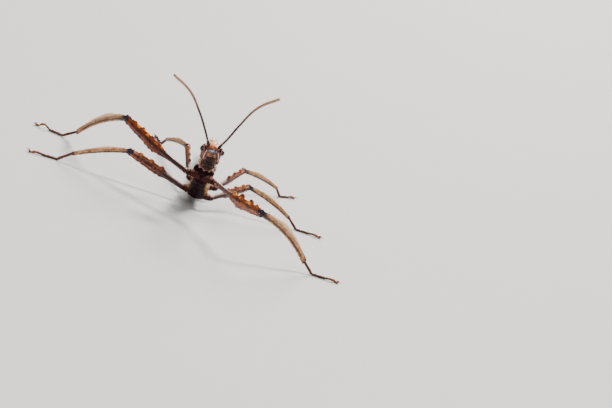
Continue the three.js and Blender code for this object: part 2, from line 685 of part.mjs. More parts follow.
// ---------------------------------------------------------------- the insect
const thorax = buildThorax();
const abdomen = buildAbdomen(thorax.end, thorax.last);
buildCerci(abdomen.end, abdomen.last.back, abdomen.last.piece);
const head = buildHead();
buildMouth(head);
buildAntennae(head);
buildNeck(head, pieces.get('prothorax'));
LEGS.forEach(buildLeg);

/** A mesh for a piece, placed where the piece is. */
function toMesh(piece) {
  const { color, roughness } = FINISHES[piece.finish];
  const material = new THREE.MeshStandardMaterial({ color, roughness, metalness: 0 });
  const mesh = new THREE.Mesh(toGeometry(piece.solid), material);
  mesh.name = piece.name;
  piece.place.decompose(mesh.position, mesh.quaternion, mesh.scale);
  return mesh;
}

/** A group of the meshes whose names match. */
function groupOf(pattern) {
  const group = new THREE.Group();
  for (const [name, piece] of pieces) if (pattern.test(name)) group.add(toMesh(piece));
  return group;
}

const insect = new THREE.Group();
insect.add(
  groupOf(/^(head|eye|scape|antenna|labrum|mandibles|labium)/),
  groupOf(/^(neck|prothorax|mesothorax|metathorax)/),
  groupOf(/^(abdomen|cercus)/),
);
for (const leg of LEGS) insect.add(groupOf(new RegExp(`_${leg.name}$`)));

// The origin is under the middle of the insect's own box.
insect.updateMatrixWorld(true);
const box = new THREE.Box3().setFromObject(insect, true);
const middle = box.getCenter(new THREE.Vector3());
insect.position.set(-middle.x, -middle.y, -box.min.z);

export default insect;
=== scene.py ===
"""A giant prickly stick insect, a nearly grown male nymph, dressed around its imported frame.

Forms are modelled in millimetres in the insect's own frame: it faces -Y, its left side is +X and it stands
on z = 0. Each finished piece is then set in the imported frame, in metres.
"""
import logging
import math
import random
from contextlib import contextmanager
from dataclasses import dataclass, field, replace
from enum import Enum
from typing import Callable, Iterator, Sequence

import bpy
import numpy as np
from mathutils import Euler, Matrix, Vector


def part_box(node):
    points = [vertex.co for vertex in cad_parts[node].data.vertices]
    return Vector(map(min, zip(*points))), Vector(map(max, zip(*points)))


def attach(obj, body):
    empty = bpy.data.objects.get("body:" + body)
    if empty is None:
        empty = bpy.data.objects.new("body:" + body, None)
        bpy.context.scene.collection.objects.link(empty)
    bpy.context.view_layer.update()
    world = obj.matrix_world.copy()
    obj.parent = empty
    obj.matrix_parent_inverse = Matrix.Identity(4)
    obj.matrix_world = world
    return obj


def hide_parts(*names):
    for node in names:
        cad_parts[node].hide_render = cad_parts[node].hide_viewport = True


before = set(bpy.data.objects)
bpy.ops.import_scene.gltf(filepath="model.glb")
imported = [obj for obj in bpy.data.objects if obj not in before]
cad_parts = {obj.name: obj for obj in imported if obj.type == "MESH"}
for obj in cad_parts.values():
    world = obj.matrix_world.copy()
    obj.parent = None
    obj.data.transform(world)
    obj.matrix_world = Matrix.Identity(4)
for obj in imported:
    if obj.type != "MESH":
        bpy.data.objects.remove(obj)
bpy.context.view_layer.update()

LOG = logging.getLogger("stick_insect")

Stops = Sequence[tuple[float, float]]
Point = tuple[float, float, float]

MM = 0.001
UP = Vector((0.0, 0.0, 1.0))
SIDES = (-1.0, 1.0)  # the right side, then the left
LOCAL = "local"  # the attribute that holds a point's place on its own limb
LEG_BASE = "leg_base"  # how far a corner belongs to the base of a leg, and its place on it
HAIRY = "hairy"  # the attribute that is 1 where bristles grow

# ------------------------------------------------------------------ the insect's stance
EDGE = 0.24  # half the thickness of a thin ridge or lobe
LOBE_SINK = 0.25  # how far below its ridge the middle of a lobe stands
SOLE = 0.3  # how high the middle of a toe lies
ANKLE = 2.6  # how high a shin ends
TARSOMERES = (3.8, 1.4, 1.2, 1.0, 2.6)  # lengths of the joints of a foot
FIRST_REACH = math.sqrt(TARSOMERES[0] ** 2 - (ANKLE - SOLE) ** 2)  # of the first of them, seen from above
PROTHORAX_FRONT = Vector((0.0, -0.75, 12.05))
NECK_TOP = Vector((0.05, -2.15, 14.25))
NECK_RADIUS = 1.0
HEAD_CENTRE = Vector((0.12, -4.2, 16.21))
HEAD_TURN = Euler((math.radians(-5.0), math.radians(-6.8), math.radians(12.0)), "XYZ")


# ------------------------------------------------------------------ numbers and places
def heading(azimuth: float, elevation: float) -> Vector:
    """Gives the direction at an azimuth about Z and an elevation, in degrees.

    Args:
        azimuth: 0 is +X and 90 is +Y.
        elevation: the angle above level.

    Returns:
        A unit vector.
    """
    turn, rise = math.radians(azimuth), math.radians(elevation)
    return Vector((math.cos(turn) * math.cos(rise), math.sin(turn) * math.cos(rise), math.sin(rise)))


def aim(start: Vector, direction: Vector, upward: Vector = UP) -> Matrix:
    """Places a form that was modelled along +Y.

    Args:
        start: where its origin goes.
        direction: where its +Y points.
        upward: what its +Z is nearest to.

    Returns:
        The placement.
    """
    along = direction.normalized()
    across = along.cross(upward).normalized()
    place = Matrix((across, along, across.cross(along))).transposed().to_4x4()
    place.translation = start
    return place


def smooth(t: float) -> float:
    """Eases a share from 0 to 1."""
    t = min(max(t, 0.0), 1.0)
    return t * t * (3.0 - 2.0 * t)


def ramp(t: float, stops: Stops) -> float:
    """Reads a smooth ramp.

    Args:
        t: where to read it.
        stops: pairs of a place and the value there, in order.

    Returns:
        The value at t.
    """
    if t <= stops[0][0]:
        return stops[0][1]
    for (t0, v0), (t1, v1) in zip(stops, stops[1:]):
        if t <= t1:
            return v0 + (v1 - v0) * smooth((t - t0) / (t1 - t0))
    return stops[-1][1]


def arch(height: float, t: float) -> float:
    """Gives the rise of an arch of a height, at a share of its span."""
    return 4.0 * height * t * (1.0 - t)


def evenly(steps: int, first: float = 0.0, last: float = 1.0) -> list[float]:
    """Divides a stretch evenly and gives its steps + 1 places."""
    return [first + (last - first) * i / steps for i in range(steps + 1)]


@dataclass(frozen=True)
class Ring:
    """A section of a form along +Y: its place, half width, and reach above and below the line."""

    along: float
    half: float
    above: float
    below: float
    aside: float = 0.0

    def middle(self) -> Vector:
        """Gives the middle of the section."""
        return Vector((self.aside, self.along, (self.above - self.below) / 2.0))

    def tall(self) -> float:
        """Gives half the height of the section."""
        return (self.above + self.below) / 2.0


def round_ring(along: float, radius: float, rise: float = 0.0) -> Ring:
    """Makes a round section whose middle is raised by `rise`."""
    return Ring(along, radius, radius + rise, radius - rise)


# ------------------------------------------------------------------ the work bench
class Bench:
    """Modelling with operators."""

    @staticmethod
    def take(*forms: bpy.types.Object) -> bpy.types.Object:
        """Selects these forms alone and makes the first one active.

        Args:
            forms: the forms.

        Returns:
            The active form.
        """
        bpy.ops.object.select_all(action="DESELECT")
        for form in forms:
            form.select_set(True)
        bpy.context.view_layer.objects.active = forms[0]
        return forms[0]

    @staticmethod
    def fresh(add: Callable, **settings: object) -> bpy.types.Object:
        """Adds a primitive with nothing else selected.

        Args:
            add: the operator that adds it.
            settings: the operator's settings.

        Returns:
            The primitive.
        """
        bpy.ops.object.select_all(action="DESELECT")
        add(**settings)
        return bpy.context.object

    @staticmethod
    @contextmanager
    def editing(form: bpy.types.Object) -> Iterator[None]:
        """Opens a form in edit mode with all of it selected, and closes it again.

        Args:
            form: the form.
        """
        Bench.take(form)
        bpy.ops.object.mode_set(mode="EDIT")
        bpy.ops.mesh.select_all(action="SELECT")
        yield
        bpy.ops.object.mode_set(mode="OBJECT")

    @staticmethod
    def modify(form: bpy.types.Object, kind: str, **settings: object) -> None:
        """Adds a modifier to a form, sets it and applies it.

        Args:
            form: the form.
            kind: the modifier's type.
            settings: its settings.
        """
        Bench.take(form)
        modifier = form.modifiers.new(kind.lower(), kind)
        for name, value in settings.items():
            setattr(modifier, name, value)
        bpy.ops.object.modifier_apply(modifier=modifier.name)

    @staticmethod
    def place(form: bpy.types.Object, placement: Matrix) -> bpy.types.Object:
        """Moves a form and puts its place in its mesh.

        Args:
            form: the form.
            placement: where it goes.

        Returns:
            The form.
        """
        Bench.take(form)
        form.matrix_world = placement
        bpy.ops.object.transform_apply(location=True, rotation=True, scale=True)
        return form

    @staticmethod
    def loft(rings: Sequence[Ring], sides: int) -> bpy.types.Object:
        """Extrudes a filled circle through sections along +Y.

        Args:
            rings: the sections, from the first to the last.
            sides: how many corners each section has.

        Returns:
            A closed form.
        """
        upright = (math.pi / 2.0, 0.0, 0.0)
        circle = bpy.ops.mesh.primitive_circle_add
        form = Bench.fresh(circle, vertices=sides, radius=1.0, fill_type="NGON", rotation=upright)
        bpy.ops.object.transform_apply(location=False, rotation=True, scale=False)
        with Bench.editing(form):
            last = Ring(0.0, 1.0, 1.0, 1.0)
            for index, ring in enumerate(rings):
                step = ring.middle() - last.middle()
                if index:
                    bpy.ops.mesh.extrude_region_move(TRANSFORM_OT_translate={"value": step})
                else:
                    bpy.ops.transform.translate(value=step)
                grow = (ring.half / last.half, 1.0, ring.tall() / last.tall())
                bpy.ops.transform.resize(value=grow, center_override=ring.middle())
                last = ring
            bpy.ops.mesh.select_all(action="SELECT")
            bpy.ops.mesh.normals_make_consistent(inside=False)
        return form

    @staticmethod
    def lump(centre: Point, radii: Point) -> bpy.types.Object:
        """Makes a rounded lump at a place, with its own half sizes."""
        form = Bench.fresh(bpy.ops.mesh.primitive_uv_sphere_add, segments=20, ring_count=12, radius=1.0)
        return Bench.place(form, Matrix.Translation(centre) @ Matrix.Diagonal((*radii, 1.0)))

    @staticmethod
    def spine(base: Vector, direction: Vector, length: float, radius: float) -> bpy.types.Object:
        """Makes a spine with a swollen foot, which is rooted a little in what it grows from.

        Args:
            base: where it stands.
            direction: where it points.
            length: its length.
            radius: half its thickness near the foot.

        Returns:
            The spine.
        """
        sink = 0.2
        stops = ((-sink, 1.25), (0.12 * length, 0.85), (0.5 * length, 0.5), (length, 0.14))
        rings = [round_ring(along, share * radius) for along, share in stops]
        upward = Vector((1.0, 0.0, 0.0)) if abs(direction.normalized().z) > 0.9 else UP
        return Bench.place(Bench.loft(rings, 8), aim(base, direction, upward))

    @staticmethod
    def hoop(centre: Vector, axis: Vector, radius: float, thick: float) -> bpy.types.Object:
        """Makes a rim round an axis.

        Args:
            centre: its middle.
            axis: the way through it.
            radius: how wide it is.
            thick: half the thickness of the rim.

        Returns:
            The rim.
        """
        size = {"major_radius": radius, "minor_radius": thick}
        form = Bench.fresh(bpy.ops.mesh.primitive_torus_add, major_segments=28, minor_segments=10, **size)
        turn = UP.rotation_difference(axis.normalized()).to_matrix().to_4x4()
        return Bench.place(form, Matrix.Translation(centre) @ turn)

    @staticmethod
    def join(forms: Sequence[bpy.types.Object]) -> bpy.types.Object:
        """Joins forms into the first one.

        Args:
            forms: the forms.

        Returns:
            The joined form.
        """
        Bench.take(*forms)
        if len(forms) > 1:
            bpy.ops.object.join()
        return bpy.context.object

    @staticmethod
    def fuse(forms: Sequence[bpy.types.Object], voxel: float, rounds: int) -> bpy.types.Object:
        """Joins forms and draws one skin over them.

        Args:
            forms: closed forms that reach into each other.
            voxel: the size of the skin's faces.
            rounds: how many times the skin is smoothed.

        Returns:
            The form with its skin.
        """
        form = Bench.join(forms)
        Bench.modify(form, "REMESH", mode="VOXEL", voxel_size=voxel, use_smooth_shade=True)
        Bench.modify(form, "SMOOTH", factor=0.5, iterations=rounds)
        return form

    @staticmethod
    def roughen(form: bpy.types.Object, size: float, depth: float) -> None:
        """Raises and sinks a skin by a soft solid texture.

        Args:
            form: the skin.
            size: the size of its bumps, in millimetres.
            depth: how far it reaches in and out together, in millimetres.
        """
        texture = bpy.data.textures.new("grain", "CLOUDS")
        texture.noise_scale = size
        Bench.modify(form, "DISPLACE", texture=texture, strength=depth, mid_level=0.5, texture_coords="LOCAL")
        bpy.data.textures.remove(texture)

    @staticmethod
    def carve(form: bpy.types.Object, cutter: bpy.types.Object) -> None:
        """Cuts one form out of another, and clears the cutter away.

        Args:
            form: the form that is cut.
            cutter: the form that is taken out of it.
        """
        Bench.modify(form, "BOOLEAN", operation="DIFFERENCE", object=cutter, solver="EXACT")
        bpy.data.objects.remove(cutter)

    @staticmethod
    def settle(form: bpy.types.Object) -> None:
        """Puts the corners and faces of a form in an order that rests on their places alone.

        Extruding and cutting leave them in an order that changes from run to run, and sowing follows it.

        Args:
            form: the form, before anything is written on its corners.
        """
        points = corners_of(form)
        order = np.lexsort(points.T)
        rank = np.argsort(order)
        faces = []
        for face in form.data.polygons:
            corners = [int(rank[corner]) for corner in face.vertices]
            first = corners.index(min(corners))
            faces.append(corners[first:] + corners[:first])
        form.data.clear_geometry()
        form.data.from_pydata(points[order].tolist(), [], sorted(faces))


# ------------------------------------------------------------------ small things in great numbers
@dataclass(frozen=True)
class Sowing:
    """How a small thing is sown over a skin: how many per square millimetre, its sizes and its lean."""

    density: float
    seed: int
    sizes: tuple[float, float]
    lean: float = 0.0
    keep_skin: bool = False


class Nodes:
    """A node tree that is filled node by node."""

    def __init__(self, tree: bpy.types.NodeTree) -> None:
        """Holds an empty tree."""
        self.tree = tree

    def node(self, kind: str, settings: dict | None = None, values: dict | None = None) -> bpy.types.Node:
        """Adds a node of any kind.

        Args:
            kind: the node's type.
            settings: its own settings, which are set first.
            values: numbers, colours or links for its sockets, by name or by place.

        Returns:
            The node.
        """
        node = self.tree.nodes.new(kind)
        for name, value in (settings or {}).items():
            setattr(node, name, value)
        for name, value in (values or {}).items():
            source = value.socket if isinstance(value, Value) else value
            if isinstance(source, bpy.types.NodeSocket):
                self.tree.links.new(source, node.inputs[name])
            else:
                node.inputs[name].default_value = source
        return node


class Sower(Nodes):
    """Sows copies of one small thing over a skin with geometry nodes."""

    def __init__(self, thing: bpy.types.Object, sowing: Sowing) -> None:
        """Builds the node tree.

        Args:
            thing: the small form, standing along +Z.
            sowing: how it is sown.
        """
        self.thing = thing
        super().__init__(bpy.data.node_groups.new("sowing", "GeometryNodeTree"))
        for way in ("INPUT", "OUTPUT"):
            self.tree.interface.new_socket("Geometry", in_out=way, socket_type="NodeSocketGeometry")
        skin = self.node("NodeGroupInput").outputs[0]
        hairy = self.node("GeometryNodeInputNamedAttribute", {"data_type": "BOOLEAN"}, {"Name": HAIRY})
        spread = self.node(
            "GeometryNodeDistributePointsOnFaces",
            {"distribute_method": "RANDOM"},
            {"Mesh": skin, "Selection": hairy.outputs[0], "Density": sowing.density, "Seed": sowing.seed},
        )
        source = self.node("GeometryNodeObjectInfo", {}, {"Object": thing})
        scale = self.chance(sowing.sizes[0], sowing.sizes[1], sowing.seed + 1)
        values = {name: spread.outputs[name] for name in ("Points", "Rotation")}
        values |= {"Instance": source.outputs["Geometry"], "Scale": scale}
        tilted = self.node("GeometryNodeInstanceOnPoints", {}, values)
        for axis, offset in ((0, 2), (1, 3)):
            amount = self.chance(-sowing.lean, sowing.lean, sowing.seed + offset)
            turn = self.node("ShaderNodeCombineXYZ", {}, {axis: amount})
            values = {"Instances": tilted.outputs[0], "Rotation": turn.outputs[0]}
            tilted = self.node("GeometryNodeRotateInstances", {}, values)
        real = self.node("GeometryNodeRealizeInstances", {}, {"Geometry": tilted.outputs[0]}).outputs[0]
        if sowing.keep_skin:
            both = self.node("GeometryNodeJoinGeometry")
            for part in (real, skin):
                self.tree.links.new(part, both.inputs[0])
            real = both.outputs[0]
        self.tree.links.new(real, self.node("NodeGroupOutput").inputs[0])

    def chance(self, low: float, high: float, seed: int) -> bpy.types.NodeSocket:
        """Draws a number between two for each copy.

        Args:
            low: the least.
            high: the most.
            seed: what the draw starts from.

        Returns:
            The number's socket.
        """
        node = self.node("FunctionNodeRandomValue", {"data_type": "FLOAT"})
        for name, value in (("Min", low), ("Max", high)):
            for socket in node.inputs:
                if socket.name == name and socket.type == "VALUE":
                    socket.default_value = value
        node.inputs["Seed"].default_value = seed
        return next(socket for socket in node.outputs if socket.type == "VALUE" and socket.enabled)

    def sow(self, skin: bpy.types.Object) -> None:
        """Sows over a skin, and clears the tree and the small form away.

        Args:
            skin: the skin; it becomes the copies alone unless the sowing keeps it.
        """
        Bench.take(skin)
        modifier = skin.modifiers.new("sowing", "NODES")
        modifier.node_group = self.tree
        bpy.ops.object.modifier_apply(modifier=modifier.name)
        bpy.data.node_groups.remove(self.tree)
        bpy.data.objects.remove(self.thing)


def bristle(length: float, radius: float) -> bpy.types.Object:
    """Makes one fine bristle that stands along +Z.

    Args:
        length: its length.
        radius: half its thickness at the foot.

    Returns:
        The bristle.
    """
    middle, tip = (0.0, 0.0, 0.45 * length), 0.2 * radius
    cone = bpy.ops.mesh.primitive_cone_add
    form = Bench.fresh(cone, vertices=3, radius1=radius, radius2=tip, depth=length, location=middle)
    bpy.ops.object.transform_apply(location=True, rotation=False, scale=False)
    return form


def pebble(radius: float) -> bpy.types.Object:
    """Makes one low rounded wart."""
    form = Bench.fresh(bpy.ops.mesh.primitive_ico_sphere_add, subdivisions=1, radius=radius)
    return Bench.place(form, Matrix.Diagonal((1.0, 1.0, 0.7, 1.0)))


# ------------------------------------------------------------------ places on the skin
def corners_of(form: bpy.types.Object) -> np.ndarray:
    """Reads the corners of a form.

    Args:
        form: the form.

    Returns:
        Their places, one row each.
    """
    flat = np.empty(len(form.data.vertices) * 3, dtype=np.float32)
    form.data.vertices.foreach_get("co", flat)
    return flat.reshape(-1, 3).astype(np.float64)


def write_attribute(form: bpy.types.Object, name: str, values: np.ndarray) -> None:
    """Writes one value or one vector for each corner of a form.

    Args:
        form: the form.
        name: the attribute's name.
        values: the values or vectors, one row each.
    """
    vectors = values.ndim == 2
    kind, key = ("FLOAT_VECTOR", "vector") if vectors else ("FLOAT", "value")
    layer = form.data.attributes.get(name) or form.data.attributes.new(name, kind, "POINT")
    layer.data.foreach_set(key, values.astype(np.float32).ravel())


@dataclass(frozen=True)
class Bone:
    """A straight stretch of a limb, which says where a point lies on it."""

    start: Vector
    direction: Vector
    length: float
    bow: float = 0.0

    def read(self, points: np.ndarray) -> tuple[np.ndarray, np.ndarray]:
        """Reads places on the stretch.

        Args:
            points: the points, one row each.

        Returns:
            Their distance from its line, and their place: across, share of its length, and rise.
        """
        turn = np.array(aim(self.start, self.direction).inverted())
        place = points @ turn[:3, :3].T + turn[:3, 3]
        share = np.clip(place[:, 1] / self.length, 0.0, 1.0)
        rise = place[:, 2] - arch(self.bow, share)
        past = place[:, 1] - share * self.length
        away = np.sqrt(place[:, 0] ** 2 + past ** 2 + rise ** 2)
        return away, np.column_stack([place[:, 0], share, rise])


def nearest_place(points: np.ndarray, bones: Sequence[Bone]) -> tuple[np.ndarray, np.ndarray, np.ndarray]:
    """Finds which of some stretches each point is nearest to.

    Args:
        points: the points, one row each.
        bones: the stretches.

    Returns:
        The distance to the nearest stretch, its place in the row of stretches, and the point's place on it.
    """
    readings = [bone.read(points) for bone in bones]
    ways = np.stack([away for away, _ in readings])
    nearest = np.argmin(ways, axis=0)
    places = np.stack([place for _, place in readings])[nearest, np.arange(len(points))]
    return ways.min(axis=0), nearest, places


def survey(form: bpy.types.Object, bones: Sequence[Bone]) -> None:
    """Writes the place of each corner on the nearest stretch, counting the stretches along the limb.

    Args:
        form: the skin.
        bones: the stretches.
    """
    _, nearest, places = nearest_place(corners_of(form), bones)
    places[:, 1] += nearest
    write_attribute(form, LOCAL, places)


def survey_bases(form: bpy.types.Object, bones: Sequence[Bone], reach: float, soft: float) -> None:
    """Writes how far each corner belongs to the base of a leg, and its share and rise on the nearest one.

    Args:
        form: the skin.
        bones: the stretches of the bases.
        reach: how far from its line a base ends, in millimetres.
        soft: the width of the change to the body.
    """
    away, _, places = nearest_place(corners_of(form), bones)
    places[:, 0] = np.clip((reach - away) / soft, 0.0, 1.0)
    write_attribute(form, LEG_BASE, places)


def survey_plain(form: bpy.types.Object, placement: Matrix) -> None:
    """Writes the place of each corner in the frame of a piece."""
    turn = np.array(placement.inverted())
    write_attribute(form, LOCAL, corners_of(form) @ turn[:3, :3].T + turn[:3, 3])


# ------------------------------------------------------------------ shader sheets
class Value:
    """A number that varies over a surface. Python's operators on it add Math nodes."""

    def __init__(self, sheet: "Sheet", socket: bpy.types.NodeSocket) -> None:
        """Holds a socket of a sheet."""
        self.sheet = sheet
        self.socket = socket

    def _with(self, operation: str, first: "Value | float", second: "Value | float") -> "Value":
        """Adds a Math node."""
        return self.sheet.value("ShaderNodeMath", {"operation": operation}, {0: first, 1: second})

    def __add__(self, other: "Value | float") -> "Value":
        """Adds."""
        return self._with("ADD", self, other)

    __radd__ = __add__

    def __mul__(self, other: "Value | float") -> "Value":
        """Multiplies."""
        return self._with("MULTIPLY", self, other)

    __rmul__ = __mul__

    def __sub__(self, other: "Value | float") -> "Value":
        """Takes away."""
        return self._with("SUBTRACT", self, other)

    def __rsub__(self, other: float) -> "Value":
        """Takes this away from a number."""
        return self._with("SUBTRACT", other, self)

    def __abs__(self) -> "Value":
        """Drops the sign."""
        return self._with("ABSOLUTE", self, 0.0)

    def step(self, low: float, high: float) -> "Value":
        """Rises smoothly from 0 to 1.

        Args:
            low: where it is 0.
            high: where it is 1. It falls instead where this is the lesser.

        Returns:
            The eased value.
        """
        values = {"Value": self, "From Min": min(low, high), "From Max": max(low, high)}
        eased = self.sheet.value("ShaderNodeMapRange", {"interpolation_type": "SMOOTHSTEP"}, values)
        return 1.0 - eased if low > high else eased

    def band(self, middle: float, reach: float, soft: float) -> "Value":
        """Is 1 within `reach` of the middle and falls to 0 over `soft`."""
        return abs(self - middle).step(reach + soft, reach)


def linear(code: str) -> tuple[float, float, float, float]:
    """Turns a colour such as a1b2c3 into the shader's linear numbers."""
    parts = [int(code[i:i + 2], 16) / 255.0 for i in (0, 2, 4)]
    light = [c / 12.92 if c <= 0.04045 else ((c + 0.055) / 1.055) ** 2.4 for c in parts]
    return (light[0], light[1], light[2], 1.0)


class Sheet(Nodes):
    """The node tree of one material, with the few kinds of node that the finishes use."""

    def __init__(self, name: str, ground: str) -> None:
        """Starts a material.

        Args:
            name: its name.
            ground: the colour under all others.
        """
        self.material = bpy.data.materials.new(name)
        self.material.use_nodes = True
        super().__init__(self.material.node_tree)
        self.tree.nodes.clear()
        place = self.node("ShaderNodeTexCoord").outputs["Object"]
        scaled = self.node("ShaderNodeVectorMath", {"operation": "SCALE"}, {0: place, "Scale": 1.0 / MM})
        self.space = scaled.outputs[0]
        self.across, self.along, self.rise = self.place(LOCAL)
        self.colour: str | bpy.types.NodeSocket = ground

    def place(self, name: str) -> tuple["Value", "Value", "Value"]:
        """Gives the three parts of a vector written on the corners.

        Args:
            name: the attribute's name.

        Returns:
            Its parts.
        """
        local = self.node("ShaderNodeAttribute", {"attribute_name": name})
        split = self.node("ShaderNodeSeparateXYZ", {}, {0: local.outputs["Vector"]})
        first, second, third = (Value(self, split.outputs[i]) for i in range(3))
        return first, second, third

    def value(self, kind: str, settings: dict | None = None, values: dict | None = None) -> Value:
        """Adds a node and gives its first output as a value."""
        return Value(self, self.node(kind, settings, values).outputs[0])

    def noise(self, size: float, detail: float = 3.0, twist: float = 0.0) -> Value:
        """Gives soft noise with blotches of a size in millimetres."""
        settings = {"Vector": self.space, "Scale": 1.0 / size, "Detail": detail, "Distortion": twist}
        return Value(self, self.node("ShaderNodeTexNoise", {}, settings).outputs[0])

    def cells(self, size: float) -> Value:
        """Gives the distance to the middle of cells of a size in millimetres."""
        values = {"Vector": self.space, "Scale": 1.0 / size}
        return Value(self, self.node("ShaderNodeTexVoronoi", {}, values).outputs["Distance"])

    def edges(self) -> Value:
        """Gives how sharply the surface stands out."""
        geometry = self.node("ShaderNodeNewGeometry")
        return Value(self, geometry.outputs["Pointiness"])

    def blend(
        self, under: str | bpy.types.NodeSocket, over: str | bpy.types.NodeSocket, mask: Value
    ) -> bpy.types.NodeSocket:
        """Lays one colour over another.

        Args:
            under: the lower colour.
            over: the upper colour.
            mask: 1 where the upper one shows.

        Returns:
            The mixed colour.
        """
        first, second = (linear(colour) if isinstance(colour, str) else colour for colour in (under, over))
        settings = {"data_type": "RGBA", "clamp_factor": True}
        return self.node("ShaderNodeMix", settings, {0: mask, 6: first, 7: second}).outputs[2]

    def lay(self, over: str | bpy.types.NodeSocket, mask: Value) -> None:
        """Lays a colour over all that the sheet has so far, where a mask is 1."""
        self.colour = self.blend(self.colour, over, mask)

    def finish(
        self, rough: Value | float, relief: Value, depth: float, fixed: dict[str, float] | None = None
    ) -> bpy.types.Material:
        """Closes the sheet with its surface shader.

        Args:
            rough: the roughness.
            relief: the height of the fine relief.
            depth: how deep the relief is, in millimetres.
            fixed: numbers of the shader that are the same all over.

        Returns:
            The finished material.
        """
        bump = self.node("ShaderNodeBump", {}, {"Height": relief, "Strength": 1.0, "Distance": depth * MM})
        values = {"Base Color": self.colour, "Roughness": rough, "Normal": bump.outputs[0], **(fixed or {})}
        shader = self.node("ShaderNodeBsdfPrincipled", {}, values)
        out = self.node("ShaderNodeOutputMaterial")
        self.tree.links.new(shader.outputs[0], out.inputs[0])
        return self.material


# ------------------------------------------------------------------ finishes
class Slot(Enum):
    """The record's material slots."""

    CUTICLE = "cuticle"
    THIGH = "thigh"
    JAW = "jaw"
    ANTENNA = "antenna"
    EYE = "eye"
    CLAW = "claw"


@dataclass(frozen=True)
class BodyFinish:
    """Grained cuticle of the neck, thorax and abdomen: purplish black with ochre along the sides, reaching
    further on the +X side as painted light; painted shade on the underside and in creases; painted highlights
    on ridges, the shoulders and the tops of the leg bases.
    """

    dark: str = "1b060f"
    middle: str = "64402e"
    ochre: str = "c58c48"
    pale: str = "c79a74"
    # Near-black underside: the dark cuticle deepened as painted shade, since light falls from above and
    # behind.
    shaded_belly: str = "1a040e"
    painted_sheen: str = "6a5864"
    coxa: str = "40231f"
    coxa_top_highlight: str = "d8a08c"

    def build(self) -> bpy.types.Material:
        """Builds the material.

        Returns:
            The material.
        """
        sheet = Sheet("body_cuticle", self.shaded_belly)
        blotch, fleck = sheet.noise(2.2, 4.0, 0.6), sheet.noise(0.5, 3.0)
        back = sheet.rise.step(-0.2, 0.9)
        sheet.lay(self.dark, blotch.step(0.4, 0.6))
        sheet.lay(self.middle, back * (0.65 * blotch + 0.35 * fleck).step(0.36, 0.58))
        # The ochre along the sides is the cuticle's own; the 0.12 * across term lets it reach further on the
        # +X side, as painted light from that side.
        reach = abs(sheet.across) + 0.12 * sheet.across
        side = reach.step(1.4, 1.9) * sheet.noise(1.3, 3.0).step(0.38, 0.54) * sheet.along.step(1.95, 2.2)
        sheet.lay(self.ochre, side * abs(sheet.rise - 0.25).step(1.2, 0.4) * 0.8)
        # Painted highlight: a grey-violet sheen on the tops of the shoulder humps.
        shoulder = sheet.along.band(1.4, 0.35, 0.2) * sheet.rise.step(0.1, 0.8)
        shoulder = shoulder * abs(sheet.across).step(0.9, 1.5)
        sheet.lay(self.painted_sheen, shoulder * blotch.step(0.36, 0.6) * 0.7)
        tail = sheet.along.step(4.0, 7.0) * blotch.step(0.4, 0.7)
        sheet.lay(self.pale, tail * back * 0.4)
        base, share, base_rise = sheet.place(LEG_BASE)
        # Painted highlight: pale pink on the upper side of each leg base.
        lit_top = base_rise.step(0.15, 0.85) * (0.6 * blotch + 0.4 * fleck).step(0.64, 0.4)
        coxa = sheet.blend(self.coxa, self.coxa_top_highlight, lit_top * 0.8)
        coxa = sheet.blend(coxa, self.dark, abs(share - 0.7).step(0.1, 0.02) * 0.8)
        sheet.lay(coxa, base)
        # Painted highlight: pale on sharp ridges, most on the back. Painted shade: near-black in creases.
        ridge_light_crease_shade = sheet.edges()
        sheet.lay(self.pale, ridge_light_crease_shade.step(0.54, 0.64) * (0.1 + 0.6 * back))
        sheet.lay(self.shaded_belly, ridge_light_crease_shade.step(0.48, 0.42) * 0.8)
        rough = 0.4 + 0.25 * fleck
        relief = fleck + 0.5 * sheet.noise(0.14, 2.0)
        return sheet.finish(rough, relief, 0.09, {"Specular IOR Level": 0.03})


